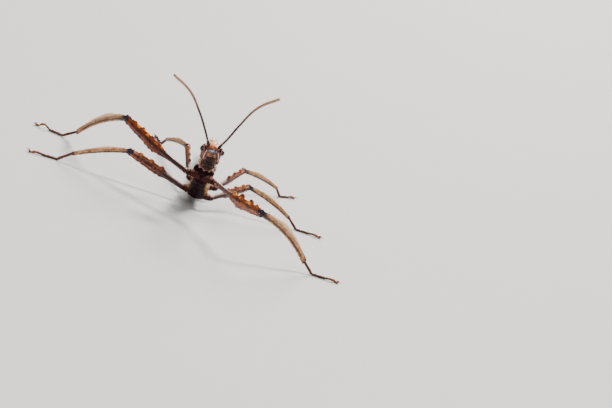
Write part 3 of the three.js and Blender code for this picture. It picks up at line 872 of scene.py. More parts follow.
@dataclass(frozen=True)
class LegFinish:
    """Cuticle of a leg: a dark shaft, a rusty mottled blade, a dark knee, a pale shin and a brown foot.
    Painted light: a rim light on the shaft's upper edge, an orange glow along the blade's upper edge, paler
    tops to the shin and foot, highlights on sharp edges and shade in creases.
    """

    name: str
    blade: str = "622208"
    glow: str = "ee8616"
    rim: str = "e8b8a0"
    ridge: str = "240d0a"
    under: str = "8c4c40"
    patch: str = "983e0e"
    lobe: str = "5c220c"
    knee: str = "171024"
    shaft: str = "35171a"
    shin: str = "bc8656"
    shin_pale_and_highlight: str = "ffd6b0"
    shin_line: str = "2a1417"
    foot: str = "56301f"
    toe: str = "8e4c28"

    def build(self) -> bpy.types.Material:
        """Builds the material.

        Returns:
            The material.
        """
        sheet = Sheet(self.name, self.blade)
        along, rise = sheet.along, sheet.rise
        blotch, patchy, fleck = sheet.noise(1.1, 4.0, 0.8), sheet.noise(1.7, 2.0, 0.4), sheet.noise(0.35, 3.0)
        streak = sheet.noise(0.7, 4.0, 1.4)
        sheet.lay(self.ridge, streak.step(0.5, 0.66) * 0.6)
        sheet.lay(self.patch, rise.step(0.1, 0.8) * patchy.step(0.56, 0.44) * 0.5)
        # Bright orange along the blade's upper edge: partly its own orange, partly a painted glow of light
        # shining through the thin edge.
        sheet.lay(self.glow, rise.band(0.95, 0.22, 0.3) * patchy.step(0.49, 0.55))
        sheet.lay(self.lobe, rise.step(1.15, 1.4) * 0.85)
        sheet.lay(self.under, rise.step(-0.35, -0.9) * streak.step(0.62, 0.45) * 0.8)
        core = abs(rise + 0.6 * (patchy - 0.5)).step(0.6, 0.1) * blotch.step(0.4, 0.56)
        sheet.lay(self.ridge, core * 0.85)
        sheet.lay(self.patch, along.band(0.9, 0.03, 0.04) * (1.0 - core) * 0.6)
        sheet.lay(self.shaft, along.step(0.46, 0.34) * 0.95)
        # Painted highlight: a pale pink rim light along the upper edge of the shaft.
        lit_upper_edge = (rise + 0.3 * (fleck - 0.5)).step(0.42, 0.58)
        sheet.lay(self.rim, lit_upper_edge * along.step(0.37, 0.3) * 0.5)
        # The shin pales towards its upper edge: partly its own pale lamella, partly painted light from above.
        shin_colour = sheet.blend(self.shin, self.shin_pale_and_highlight, (rise + 0.9 * (blotch - 0.5)).step(0.1, 1.3))
        speck = (0.35 * fleck + 0.65 * streak + 0.12 * rise).step(0.5, 0.6)
        shin_colour = sheet.blend(shin_colour, self.foot, speck * rise.step(0.9, 0.2) * 0.8)
        shin_colour = sheet.blend(shin_colour, self.patch, along.step(1.86, 1.97) * rise.step(0.3, 0.6) * 0.5)
        line = (rise + 0.5 * (blotch - 0.5)).band(-0.22, 0.1, 0.16)
        shin_colour = sheet.blend(shin_colour, self.shin_line, line * along.step(1.98, 1.85) * 0.9)
        shin_colour = sheet.blend(shin_colour, self.toe, rise.step(-0.35, -0.6) * 0.45)
        sheet.lay(shin_colour, along.step(1.03, 1.12))
        sheet.lay(self.knee, along.band(1.005, 0.035, 0.035) * 0.95)
        sheet.lay(self.knee, along.band(1.08, 0.04, 0.05) * rise.step(0.3, -0.1) * 0.6)
        # Painted light: the top of the foot's joints takes the shin's paler colour.
        foot_colour = sheet.blend(self.foot, self.shin, rise.step(0.0, 0.4) * along.step(2.2, 2.5) * 0.7)
        # The orange tip of the foot: partly its own colour, partly painted back light.
        foot_colour = sheet.blend(foot_colour, self.toe, along.step(2.78, 2.98))
        foot_colour = sheet.blend(foot_colour, self.ridge, blotch.step(0.5, 0.66) * 0.6)
        sheet.lay(foot_colour, along.step(1.93, 2.02))
        # Painted shade: dark in creases. Painted highlight: pale on sharp edges.
        ridge_light_crease_shade = sheet.edges()
        sheet.lay(self.ridge, ridge_light_crease_shade.step(0.485, 0.44) * 0.5)
        sheet.lay(self.shin_pale_and_highlight, ridge_light_crease_shade.step(0.56, 0.66) * 0.35)
        rough = 0.34 + 0.25 * fleck
        relief = fleck + 0.6 * sheet.noise(0.12, 2.0)
        fixed = {"Coat Weight": 0.06, "Coat Roughness": 0.3, "Specular IOR Level": 0.25}
        fixed |= {"Subsurface Weight": 0.1, "Subsurface Scale": 0.4 * MM}
        return sheet.finish(rough, relief, 0.035, fixed)


@dataclass(frozen=True)
class HeadFinish:
    """Cuticle of the head: a peach crown whose pale top is partly painted sunlight, a slate brow with a
    painted highlight, pink ridges on dark cheeks, painted shade in creases and painted highlights on sharp
    edges.
    """

    base: str = "46241f"
    dark: str = "160b0f"
    flank: str = "a0655a"
    crown: str = "ffd4a6"
    tip: str = "84492f"
    blush: str = "f08c48"
    girdle: str = "a04a1c"
    brow: str = "7c6f78"
    painted_gleam: str = "cfd0dc"
    ridge: str = "f0bfae"
    lip: str = "bc764e"
    spot: str = "5c1418"

    def build(self) -> bpy.types.Material:
        """Builds the material. Here `along` counts backwards from the face, and `rise` is the height.

        Returns:
            The material.
        """
        sheet = Sheet("head_cuticle", self.base)
        across, front, height = abs(sheet.across), 0.0 - sheet.along, sheet.rise
        blotch, fleck, vein = sheet.noise(0.8, 4.0, 0.6), sheet.noise(0.25, 3.0), sheet.noise(0.5, 4.0, 1.6)
        sheet.lay(self.dark, blotch.step(0.45, 0.6) * 0.85)
        flank = across.step(1.7, 1.95) * vein.step(0.6, 0.42) * height.step(-2.2, -1.4)
        sheet.lay(self.flank, flank * 0.95)
        inner = across.band(1.25, 0.14, 0.2) * vein.step(0.46, 0.6) * front.step(0.8, 1.4)
        sheet.lay(self.flank, inner * 0.7)
        slope = across + 0.2 * height + 0.07 * height * height + 0.25 * (blotch - 0.5)
        ridge = slope.band(1.62, 0.03, 0.12) * height.band(0.0, 0.85, 0.4) * front.step(0.6, 1.1)
        sheet.lay(self.ridge, ridge * (0.55 + fleck).step(0.7, 1.0))
        wave = 0.5 * (vein - 0.5)
        brow = (across + wave).step(1.15, 0.75) * (height + wave).band(0.98, 0.3, 0.28) * front.step(0.9, 1.5)
        sheet.lay(self.brow, brow * vein.step(0.64, 0.4))
        # Painted highlight: a pale blue-grey gleam on the top of the brow.
        painted_gleam = brow * height.band(1.2, 0.1, 0.15) * blotch.step(0.46, 0.56)
        sheet.lay(self.painted_gleam, painted_gleam * 0.7)
        girdle = (height + 0.3 * (blotch - 0.5)).band(1.95, 0.24, 0.18) * across.step(1.3, 0.9)
        sheet.lay(self.girdle, girdle * front.step(-0.2, 0.5))
        rising = height + 0.5 * (blotch - 0.5)
        # The crown's peach is its own colour; its near-white top is partly painted sunlight from above.
        crown = rising.step(2.12, 2.32) * front.step(-2.6, -1.6)
        blush = sheet.blend(self.blush, self.crown, (rising + 0.6 * (vein - 0.5)).step(2.2, 2.75))
        sheet.lay(blush, crown)
        sheet.lay(self.tip, height.step(3.6, 4.0) * 0.7)
        lip = (across + wave).step(1.2, 0.9) * (height + wave).band(0.16, 0.24, 0.16) * front.step(1.0, 1.6)
        sheet.lay(self.lip, lip * (0.7 * blotch + 0.3 * fleck).step(0.64, 0.44))
        sheet.lay(self.dark, front.step(-1.2, -2.2) * 0.6 * (1.0 - crown))
        sheet.lay(self.dark, height.step(-1.0, -1.6) * 0.75)
        sheet.lay(self.spot, across.band(2.1, 0.25, 0.2) * height.band(-0.9, 0.2, 0.2))
        # Painted shade: dark in creases. Painted highlight: pale pink on sharp edges.
        ridge_light_crease_shade = sheet.edges()
        sheet.lay(self.dark, ridge_light_crease_shade.step(0.475, 0.42) * 0.85)
        sheet.lay(self.ridge, ridge_light_crease_shade.step(0.54, 0.63) * 0.4)
        rough = 0.32 + 0.25 * fleck - 0.16 * brow
        relief = fleck + 0.5 * sheet.noise(0.1, 2.0)
        fixed = {"Coat Weight": 0.1, "Coat Roughness": 0.2, "Specular IOR Level": 0.3}
        return sheet.finish(rough, relief, 0.035, fixed)


@dataclass(frozen=True)
class PlainFinish:
    """A mottled finish of two colours."""

    name: str
    main: str
    second: str
    size: float
    rough: float
    coat: float = 0.0

    def build(self) -> bpy.types.Material:
        """Builds the material.

        Returns:
            The material.
        """
        sheet = Sheet(self.name, self.main)
        blotch, fleck = sheet.noise(self.size, 4.0, 0.5), sheet.noise(self.size * 0.25, 3.0)
        sheet.lay(self.second, (0.7 * blotch + 0.3 * fleck).step(0.42, 0.6))
        rough = self.rough + 0.15 * fleck
        fixed = {"Coat Weight": self.coat, "Coat Roughness": 0.2, "Specular IOR Level": 0.2}
        return sheet.finish(rough, fleck, 0.02, fixed)


@dataclass(frozen=True)
class EyeFinish:
    """The glossy eye: plum brown with paler flecks towards its upper rim, in fine facets."""

    main: str = "170b10"
    second: str = "4a2a2c"

    def build(self) -> bpy.types.Material:
        """Builds the material.

        Returns:
            The material.
        """
        sheet = Sheet("eye", self.main)
        fleck = sheet.noise(0.35, 4.0, 0.4)
        sheet.lay(self.second, fleck.step(0.5, 0.68) * sheet.rise.step(0.6, 1.9))
        fixed = {"Coat Weight": 0.3, "Coat Roughness": 0.1, "Specular IOR Level": 0.3}
        return sheet.finish(0.2 + 0.1 * fleck, sheet.cells(0.05), 0.006, fixed)


@dataclass(frozen=True)
class ClawFinish:
    """The horny claws, amber at the root and dark at the tip, with a brown pad between them."""

    root: str = "8c4a22"
    tip: str = "2c120c"
    pad: str = "6b4436"

    def build(self) -> bpy.types.Material:
        """Builds the material.

        Returns:
            The material.
        """
        sheet = Sheet("claw", self.root)
        fleck = sheet.noise(0.3, 3.0)
        sheet.lay(self.tip, sheet.along.step(0.95, 1.35))
        sheet.lay(self.pad, abs(sheet.across).step(0.3, 0.1) * sheet.along.step(0.9, 0.7))
        fixed = {"Coat Weight": 0.4, "Coat Roughness": 0.15}
        return sheet.finish(0.24 + 0.15 * fleck, fleck, 0.015, fixed)


@dataclass(frozen=True)
class AntennaFinish:
    """The antenna: a maroon base with an orange ring, then dark brown turning pink-tan to the blunt tip."""

    seat: str = "2a1014"
    orange: str = "b4581c"
    base: str = "3e2620"
    tip: str = "b08464"
    ring: str = "40241f"

    def build(self) -> bpy.types.Material:
        """Builds the material.

        Returns:
            The material.
        """
        sheet = Sheet("antenna", self.base)
        fleck, streak = sheet.noise(0.5, 3.0), sheet.noise(1.6, 2.0)
        sheet.lay(self.tip, (sheet.along + 0.4 * (streak - 0.5)).step(0.3, 0.95))
        sheet.lay(self.ring, sheet.edges().step(0.49, 0.45) * 0.7)
        sheet.lay(self.orange, sheet.along.band(0.082, 0.006, 0.008))
        sheet.lay(self.seat, sheet.along.step(0.07, 0.06))
        return sheet.finish(0.45 + 0.2 * fleck, fleck, 0.02, {"Specular IOR Level": 0.4})


@dataclass(frozen=True)
class ChinFinish:
    """The lower lip and its palps: dark in the middle, brown at the sides, with pinkish painted highlights on
    their knobs.
    """

    dark: str = "2a1210"
    brown: str = "502e25"
    knob_highlight: str = "94645a"

    def build(self) -> bpy.types.Material:
        """Builds the material.

        Returns:
            The material.
        """
        sheet = Sheet("chin", self.dark)
        blotch, fleck = sheet.noise(0.6, 4.0, 0.5), sheet.noise(0.2, 3.0)
        outer = abs(sheet.across).step(0.8, 1.5) + sheet.rise.step(-2.3, -2.8)
        sheet.lay(self.brown, outer * blotch.step(0.36, 0.52))
        # Painted highlight: pinkish on the sharp knobs of the sides.
        sheet.lay(self.knob_highlight, outer * sheet.edges().step(0.49, 0.56) * 0.8)
        fixed = {"Coat Weight": 0.08, "Coat Roughness": 0.25, "Specular IOR Level": 0.25}
        return sheet.finish(0.4 + 0.15 * fleck, fleck, 0.02, fixed)


@dataclass(frozen=True)
class FloorFinish:
    """The plain pale floor, very faintly clouded."""

    main: str = "c2c1be"
    second: str = "c6c5c2"

    def build(self) -> bpy.types.Material:
        """Builds the material.

        Returns:
            The material.
        """
        sheet = Sheet("floor", self.main)
        sheet.lay(self.second, sheet.noise(40.0, 2.0))
        return sheet.finish(0.8, sheet.noise(3.0), 0.01)


def dress(
    form: bpy.types.Object, name: str, finish: bpy.types.Material, nodes: Sequence[str]
) -> None:
    """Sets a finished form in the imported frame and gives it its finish.

    Args:
        form: the form, in millimetres in the insect's own frame.
        name: the piece's name.
        finish: its material.
        nodes: the solids that it stands for.
    """
    Bench.place(form, Matrix.Translation(frame_shift() * MM) @ Matrix.Scale(MM, 4))
    bpy.ops.object.shade_smooth()
    form.name = form.data.name = name
    form.data.materials.clear()
    form.data.materials.append(finish)
    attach(form, "root")
    if nodes:
        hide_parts(*nodes)
    LOG.info("%s: %d faces", name, len(form.data.polygons))


def frame_shift() -> Vector:
    """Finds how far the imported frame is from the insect's own, from the two eyes.

    Returns:
        The shift, in millimetres.
    """
    middle, told = Vector(), Vector()
    for side in SIDES:
        low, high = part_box("eye_left" if side > 0.0 else "eye_right")
        middle += (Vector(low) + Vector(high)) / (4.0 * MM)
        told += head_place() @ in_head(side * EYE_OUT, EYE_FRONT, EYE_HEIGHT) / 2.0
    shift = middle - told
    return Vector((shift.x, shift.y, 0.0))


def grow(
    skin: bpy.types.Object, name: str, slot: Slot, where: np.ndarray, hair: bpy.types.Object, sowing: Sowing,
    measure: Callable[[bpy.types.Object], None],
) -> None:
    """Grows bristles over a skin, as a piece of their own.

    Args:
        skin: the skin.
        name: the name of the bristles.
        slot: the record's material slot; not used.
        where: 1 for each corner of the skin that bears bristles.
        hair: one bristle.
        sowing: how they are sown.
        measure: writes the places that their material reads.
    """
    Bench.take(skin)
    bpy.ops.object.duplicate()
    coat = bpy.context.object
    write_attribute(coat, HAIRY, where)
    Sower(hair, sowing).sow(coat)
    measure(coat)
    dress(coat, name, BRISTLE.build(), [])


BRISTLE = PlainFinish("bristle", "3a2420", "8a6650", 0.8, 0.5)


# ------------------------------------------------------------------ legs
@dataclass(frozen=True)
class Blade:
    """A femur or tibia as ramps along it, in millimetres: a rounded core between two thin ridges."""

    core: Stops
    upper: Stops
    lower: Stops
    lobes: Sequence[tuple[float, float]] = ()
    bow: float = 0.0
    teeth: float = 0.0


FORE_THIGH = Blade(
    core=((0, 0.58), (0.3, 0.5), (0.5, 0.6), (1, 0.76)),
    upper=((0, 0.68), (0.3, 0.6), (0.43, 0.9), (0.55, 1.06), (0.7, 1.12), (0.85, 1.05), (1, 0.95)),
    lower=((0, 0.68), (0.2, 0.6), (0.3, 0.76), (0.42, 1.2), (0.53, 1.7), (0.7, 1.3), (1, 1.02)),
    lobes=((0.405, 0.75), (0.56, 1.1), (0.755, 0.97), (0.88, 0.62)),
    bow=-0.43,
    teeth=0.16,
)
SMOOTH_THIGH = replace(
    FORE_THIGH,
    upper=((0, 0.68), (0.3, 0.6), (0.43, 1.02), (0.55, 1.2), (0.7, 1.26), (0.85, 1.12), (1, 0.95)),
    lobes=((0.45, 0.51), (0.58, 0.61), (0.74, 0.59), (0.87, 0.49)),
)
FORE_SHIN = Blade(
    core=((0, 0.56), (0.4, 0.5), (1, 0.46)),
    upper=((0, 0.72), (0.16, 1.05), (0.4, 1.55), (0.62, 1.3), (0.85, 0.92), (1, 0.88)),
    lower=((0, 0.72), (0.3, 0.66), (0.8, 0.62), (1, 0.6)),
    bow=1.15,
    teeth=0.12,
)
REAR_THIGH = Blade(
    core=((0, 0.56), (0.5, 0.62), (1, 0.7)),
    upper=((0, 0.68), (0.2, 0.72), (0.45, 1.12), (0.75, 1.02), (1, 0.82)),
    lower=((0, 0.68), (0.2, 0.72), (0.5, 1.22), (0.8, 1.02), (1, 0.92)),
    lobes=((0.42, 0.65), (0.62, 0.7), (0.82, 0.62)),
    teeth=0.16,
)
REAR_SHIN = Blade(
    core=((0, 0.54), (0.4, 0.46), (1, 0.42)),
    upper=((0, 0.6), (0.2, 0.82), (0.42, 1.08), (0.66, 0.78), (1, 0.5)),
    lower=((0, 0.6), (0.5, 0.52), (1, 0.5)),
    bow=0.4,
    teeth=0.12,
)


@dataclass
class Leg:
    """One leg, from its trochanter to its claws.

    Each of femur and tibia is a length, an azimuth and an elevation; toes is the azimuth of the foot.
    """

    name: str
    thigh: Blade
    shin: Blade
    socket: Point
    hip: Point
    femur: Point
    tibia: Point
    toes: float
    lift: float
    seed: int
    voxel: float = 0.1
    claw_length: float = 1.25
    claw_spread: float = 26.0

    def base(self) -> Bone:
        """Gives the stretch of the base of the leg."""
        reach = Vector(self.hip) - Vector(self.socket)
        return Bone(Vector(self.socket), reach, reach.length)

    def knee(self) -> Vector:
        """Gives the middle of the knee."""
        return Vector(self.hip) + heading(*self.femur[1:]) * self.femur[0]

    def ankle(self) -> Vector:
        """Gives the middle of the ankle."""
        return self.knee() + heading(*self.tibia[1:]) * self.tibia[0]

    def blade(self, shape: Blade, length: float, dice: random.Random) -> list[bpy.types.Object]:
        """Models a femur or tibia along +Y.

        Args:
            shape: its ramps.
            length: its length.
            dice: the source of the small teeth's sizes.

        Returns:
            The forms that make it up.
        """
        core, plate = [], []
        for t in evenly(20, -0.02, 1.02):
            rise = arch(shape.bow, t)
            radius = ramp(t, shape.core)
            core.append(Ring(t * length, radius, 0.92 * radius + rise, 0.92 * radius - rise))
            plate.append(Ring(t * length, EDGE, ramp(t, shape.upper) + rise, ramp(t, shape.lower) - rise))
        forms = [Bench.loft(core, 14), Bench.loft(plate, 14)]
        for share, radius in shape.lobes:
            rise = arch(shape.bow, share)
            centre = (0.0, share * length, rise + ramp(share, shape.upper) - LOBE_SINK)
            forms.append(Bench.lump(centre, (0.42, radius, radius)))
        for share in evenly(12, 0.36 if shape.lobes else 0.1, 0.95):
            rise = arch(shape.bow, share)
            reach = shape.teeth * dice.uniform(0.5, 1.3)
            for way, stops in ((1.0, shape.upper), (-1.0, shape.lower)):
                along = (share + dice.uniform(-0.02, 0.02)) * length
                centre = (0.0, along, rise + way * (ramp(share, stops) - 0.08))
                forms.append(Bench.lump(centre, (0.9 * EDGE, 0.3, reach)))
        return forms

    def foot(self) -> list[bpy.types.Object]:
        """Models the tarsus along +Y from the ankle: five joints, the last one arched.

        Returns:
            The forms that make it up.
        """
        rest = TARSOMERES[1:]
        marks = [Vector((0.0, 0.0, 0.12)), Vector((0.0, FIRST_REACH, SOLE - ANKLE))]
        for length in rest:
            marks.append(marks[-1] + Vector((0.0, length, 0.0)))
        forms = []
        for index, (start, end) in enumerate(zip(marks, marks[1:])):
            length = (end - start).length
            bulge = self.lift if index == len(rest) else 0.0
            slim = 0.24 if index == len(rest) else 0.3
            rings = []
            for t, radius in ((0.0, 0.28), (0.12, 0.33), (0.5, slim + 0.08), (0.84, 0.42), (1.0, 0.36)):
                rise = arch(bulge, t)
                rings.append(Ring(t * length, radius, 0.94 * radius + rise, min(radius, 0.3) - rise))
            forms.append(Bench.place(Bench.loft(rings, 14), aim(start, end - start)))
            if index < len(rest):
                pad = end - (end - start).normalized() * 0.3
                forms.append(Bench.lump((0.0, pad.y, pad.z - 0.12), (0.3, 0.32, 0.17)))
        return forms

    def skin(self, finish: bpy.types.Material) -> None:
        """Models the leg under one skin and dresses it.

        Args:
            finish: its material.
        """
        dice = random.Random(self.seed)
        hip, knee, ankle = Vector(self.hip), self.knee(), self.ankle()
        thigh_way, shin_way = heading(*self.femur[1:]), heading(*self.tibia[1:])
        forms = []
        for shape, stretch, start, way in (
            (self.thigh, self.femur, hip, thigh_way), (self.shin, self.tibia, knee, shin_way)
        ):
            for form in self.blade(shape, stretch[0], dice):
                forms.append(Bench.place(form, aim(start, way)))
        foot_place = aim(ankle, heading(self.toes, 0.0))
        forms += [Bench.place(form, foot_place) for form in self.foot()]
        bend = (thigh_way - shin_way).normalized()
        forms += [
            Bench.lump(hip + thigh_way * 0.25, (0.66, 0.66, 0.66)),
            Bench.lump(knee - thigh_way * 0.35 + bend * 0.1, (0.76, 0.8, 0.84)),
            Bench.lump(knee + shin_way * 0.25, (0.62, 0.68, 0.68)),
            Bench.lump(ankle - shin_way * 0.15, (0.5, 0.5, 0.5)),
        ]
        skin = Bench.fuse(forms, self.voxel, 2)
        Bench.roughen(skin, 0.55, 0.1)
        self.flatten(skin)
        bones = [
            Bone(hip, thigh_way, self.femur[0], bow=self.thigh.bow),
            Bone(knee, shin_way, self.tibia[0], bow=self.shin.bow),
            Bone(ankle, foot_place.to_3x3() @ Vector((0.0, 1.0, -0.25)), 9.2),
        ]
        survey(skin, bones)
        nodes = [f"{part}_{self.name}" for part in ("femur", "tibia", "tarsus")]
        self.bristles(skin, bones)
        dress(skin, f"skin_{self.name}", finish, nodes)

    @staticmethod
    def flatten(skin: bpy.types.Object) -> None:
        """Cuts a foot off level, a hair above the floor that it presses on.

        Args:
            skin: the skin that ends in the foot.
        """
        with Bench.editing(skin):
            level = {"plane_co": (0.0, 0.0, 0.01), "plane_no": UP}
            bpy.ops.mesh.bisect(**level, use_fill=True, clear_inner=True)

    def bristles(self, skin: bpy.types.Object, bones: Sequence[Bone]) -> None:
        """Grows fine bristles on the shin and foot, clear of the floor.

        Args:
            skin: the leg's skin.
            bones: its stretches, from the thigh on.
        """
        points = corners_of(skin)
        past_knee = nearest_place(points, bones)[1] >= 1
        where = past_knee.astype(float) * (points[:, 2] > 0.15)
        sowing = Sowing(1.8, self.seed, (0.5, 1.1), 0.5)
        hair = bristle(0.24, 0.018)
        grow(skin, f"bristles_{self.name}", Slot.THIGH, where, hair, sowing, lambda coat: survey(coat, bones))

    def claws(self, finish: bpy.types.Material) -> None:
        """Models the two claws and the pad between them.

        Args:
            finish: their material.
        """
        way = heading(self.toes, 0.0)
        toe_end = self.ankle() + way * (FIRST_REACH + sum(TARSOMERES[1:]) + 0.1)
        place = aim(Vector((toe_end.x, toe_end.y, SOLE)), way)
        pads = (((0.0, 0.42, -0.06), (0.4, 0.5, 0.24)), ((0.0, 0.12, 0.02), (0.34, 0.3, 0.3)))
        forms = [Bench.lump(centre, radii) for centre, radii in pads]
        for side in SIDES:
            rings = []
            for t in evenly(8):
                along = self.claw_length * (1.2 * t * (1.0 - t) + t * t)
                rise = self.claw_length * (0.64 * t * (1.0 - t) - 0.12 * t * t)
                rings.append(round_ring(along, 0.19 * (1.0 - 0.8 * t), rise))
            root = Vector((side * 0.17, 0.25, 0.1))
            way_out = heading(90.0 - side * self.claw_spread, 0.0)
            forms.append(Bench.place(Bench.loft(rings, 10), aim(root, way_out)))
        claws = Bench.fuse(forms, 0.055, 1)
        survey_plain(claws, Matrix())
        Bench.place(claws, place)
        self.flatten(claws)
        dress(claws, f"pair_of_claws_{self.name}", finish, [f"claws_{self.name}"])


LEGS = (
    Leg("fore_right", SMOOTH_THIGH, FORE_SHIN, (-0.9, 0.75, 9.9), (-3.75, 0.5, 9.55),
        (21.09, 149.2, 9.7), (19.59, 130.3, -32.3), 180.0, 0.8, 11, 0.09),
    Leg("fore_left", FORE_THIGH, FORE_SHIN, (0.95, 0.6, 9.95), (3.68, -0.3, 9.85),
        (21.1, -55.4, 4.8), (19.8, 42.0, -27.0), 22.0, 0.2, 12, 0.09),
    Leg("middle_right", REAR_THIGH, REAR_SHIN, (-1.7, 11.1, 3.55), (-3.7, 11.1, 3.4),
        (15.0, 194.0, 14.0), (13.5, 208.0, -19.2), 208.0, 0.2, 13),
    Leg("middle_left", REAR_THIGH, REAR_SHIN, (1.7, 11.1, 3.55), (3.6, 11.5, 3.4),
        (15.0, 60.0, 13.0), (13.5, 25.0, -18.0), 20.0, 0.2, 14),
    Leg("hind_right", REAR_THIGH, REAR_SHIN, (-1.6, 21.0, 3.75), (-3.5, 21.8, 3.7),
        (19.0, 102.0, 9.0), (19.0, 110.0, -12.4), 112.0, 0.2, 15),
    Leg("hind_left", REAR_THIGH, REAR_SHIN, (1.6, 21.0, 3.75), (3.5, 21.8, 3.7),
        (19.0, 76.0, 9.0), (19.0, 60.0, -12.4), 56.0, 0.2, 16),
)


# ------------------------------------------------------------------ neck, thorax and abdomen
@dataclass(frozen=True)
class Segment:
    """A piece of the trunk: its length, its slope down towards the tail and its turn towards +X.

    A section is a half width and the reach above and below the middle line.
    """

    name: str
    length: float
    pitch: float
    yaw: float
    front: Point
    rear: Point
    spines: int = 0
    spine_length: float = 0.0
    wing: tuple[float, float] | None = None
    shoulder: tuple[Point, Point] | None = None
    lobe: float = 0.0

    def back(self) -> Vector:
        """Gives the direction towards the tail."""
        return heading(90.0 - self.yaw, -self.pitch)

    def section(self, t: float) -> tuple[float, float, float]:
        """Gives the half width and the reach above and below at a share of the length."""
        width, above, below = (a + (b - a) * t for a, b in zip(self.front, self.rear))
        return width, above, below


THORAX = (
    Segment("prothorax", 4.4, 50.0, 0.0, (1.35, 1.1, 1.1), (1.75, 1.35, 1.35), 2, 0.7,
            shoulder=((1.6, 1.5, 0.45), (0.9, 1.15, 0.95))),
    Segment("mesothorax", 11.6, 28.0, 0.0, (1.65, 1.25, 1.2), (2.65, 1.75, 1.65), 4, 0.95, (0.74, 2.4)),
    Segment("metathorax", 10.4, -5.0, -1.0, (2.5, 1.75, 1.65), (2.35, 1.8, 1.6), 3, 0.8, (0.12, 3.6)),
)
ABDOMEN_LENGTHS = (6.2, 6.4, 6.4, 6.2, 5.6, 4.8, 3.6, 3.2, 2.8)
ABDOMEN_HALF_WIDTHS = (2.25, 2.2, 2.15, 2.1, 2.0, 1.85, 1.6, 1.55, 1.5, 1.1)
ABDOMEN_LOBES = (0.0, 0.0, 0.0, 0.75, 1.05, 0.75, 0.2, 0.3, 0.2)
ABDOMEN_PITCH = (3.0, -4.0)
ABDOMEN_YAW = (-2.0, -5.0)


@dataclass(frozen=True)
class Thorn:
    """A pair of thorns beside each mark of a segment, in shares of its section and of its own thorns."""

    out: float  # share of the half width
    inset: float  # millimetres back from that
    shift: float  # millimetres towards the tail
    rise: float  # share of the reach above, or below where it is less than 0
    way: Point  # where the left one points
    length: float
    radius: float


THORNS = (
    Thorn(0.42, 0.0, 0.0, 0.84, (0.35, 0.25, 1.0), 1.0, 0.22),
    Thorn(1.0, 0.12, 0.3, 0.0, (1.0, 0.2, 0.15), 0.7, 0.2),
    Thorn(0.72, 0.0, -0.9, 0.6, (0.8, 0.2, 0.8), 0.4, 0.17),
    Thorn(0.62, 0.0, -0.7, -0.55, (0.7, 0.1, -0.8), 0.32, 0.15),
    Thorn(0.62, 0.0, 0.6, -0.8, (0.7, 0.1, -0.8), 0.32, 0.15),
)


def abdomen() -> list[Segment]:
    """Works out the segments of the abdomen from its ramps.

    Returns:
        The segments, from front to back.
    """
    segments = []
    last = len(ABDOMEN_LENGTHS) - 1
    for index, length in enumerate(ABDOMEN_LENGTHS):
        t = index / last
        width, after = ABDOMEN_HALF_WIDTHS[index:index + 2]
        pitch, yaw = (a + (b - a) * t for a, b in (ABDOMEN_PITCH, ABDOMEN_YAW))
        front = (0.94 * width, 0.75 * width, 0.68 * width)
        rear = (1.03 * after, 0.84 * after, 0.73 * after)
        segments.append(
            Segment(f"abdomen_{index + 2}", length, pitch, yaw, front, rear, lobe=ABDOMEN_LOBES[index])
        )
    return segments


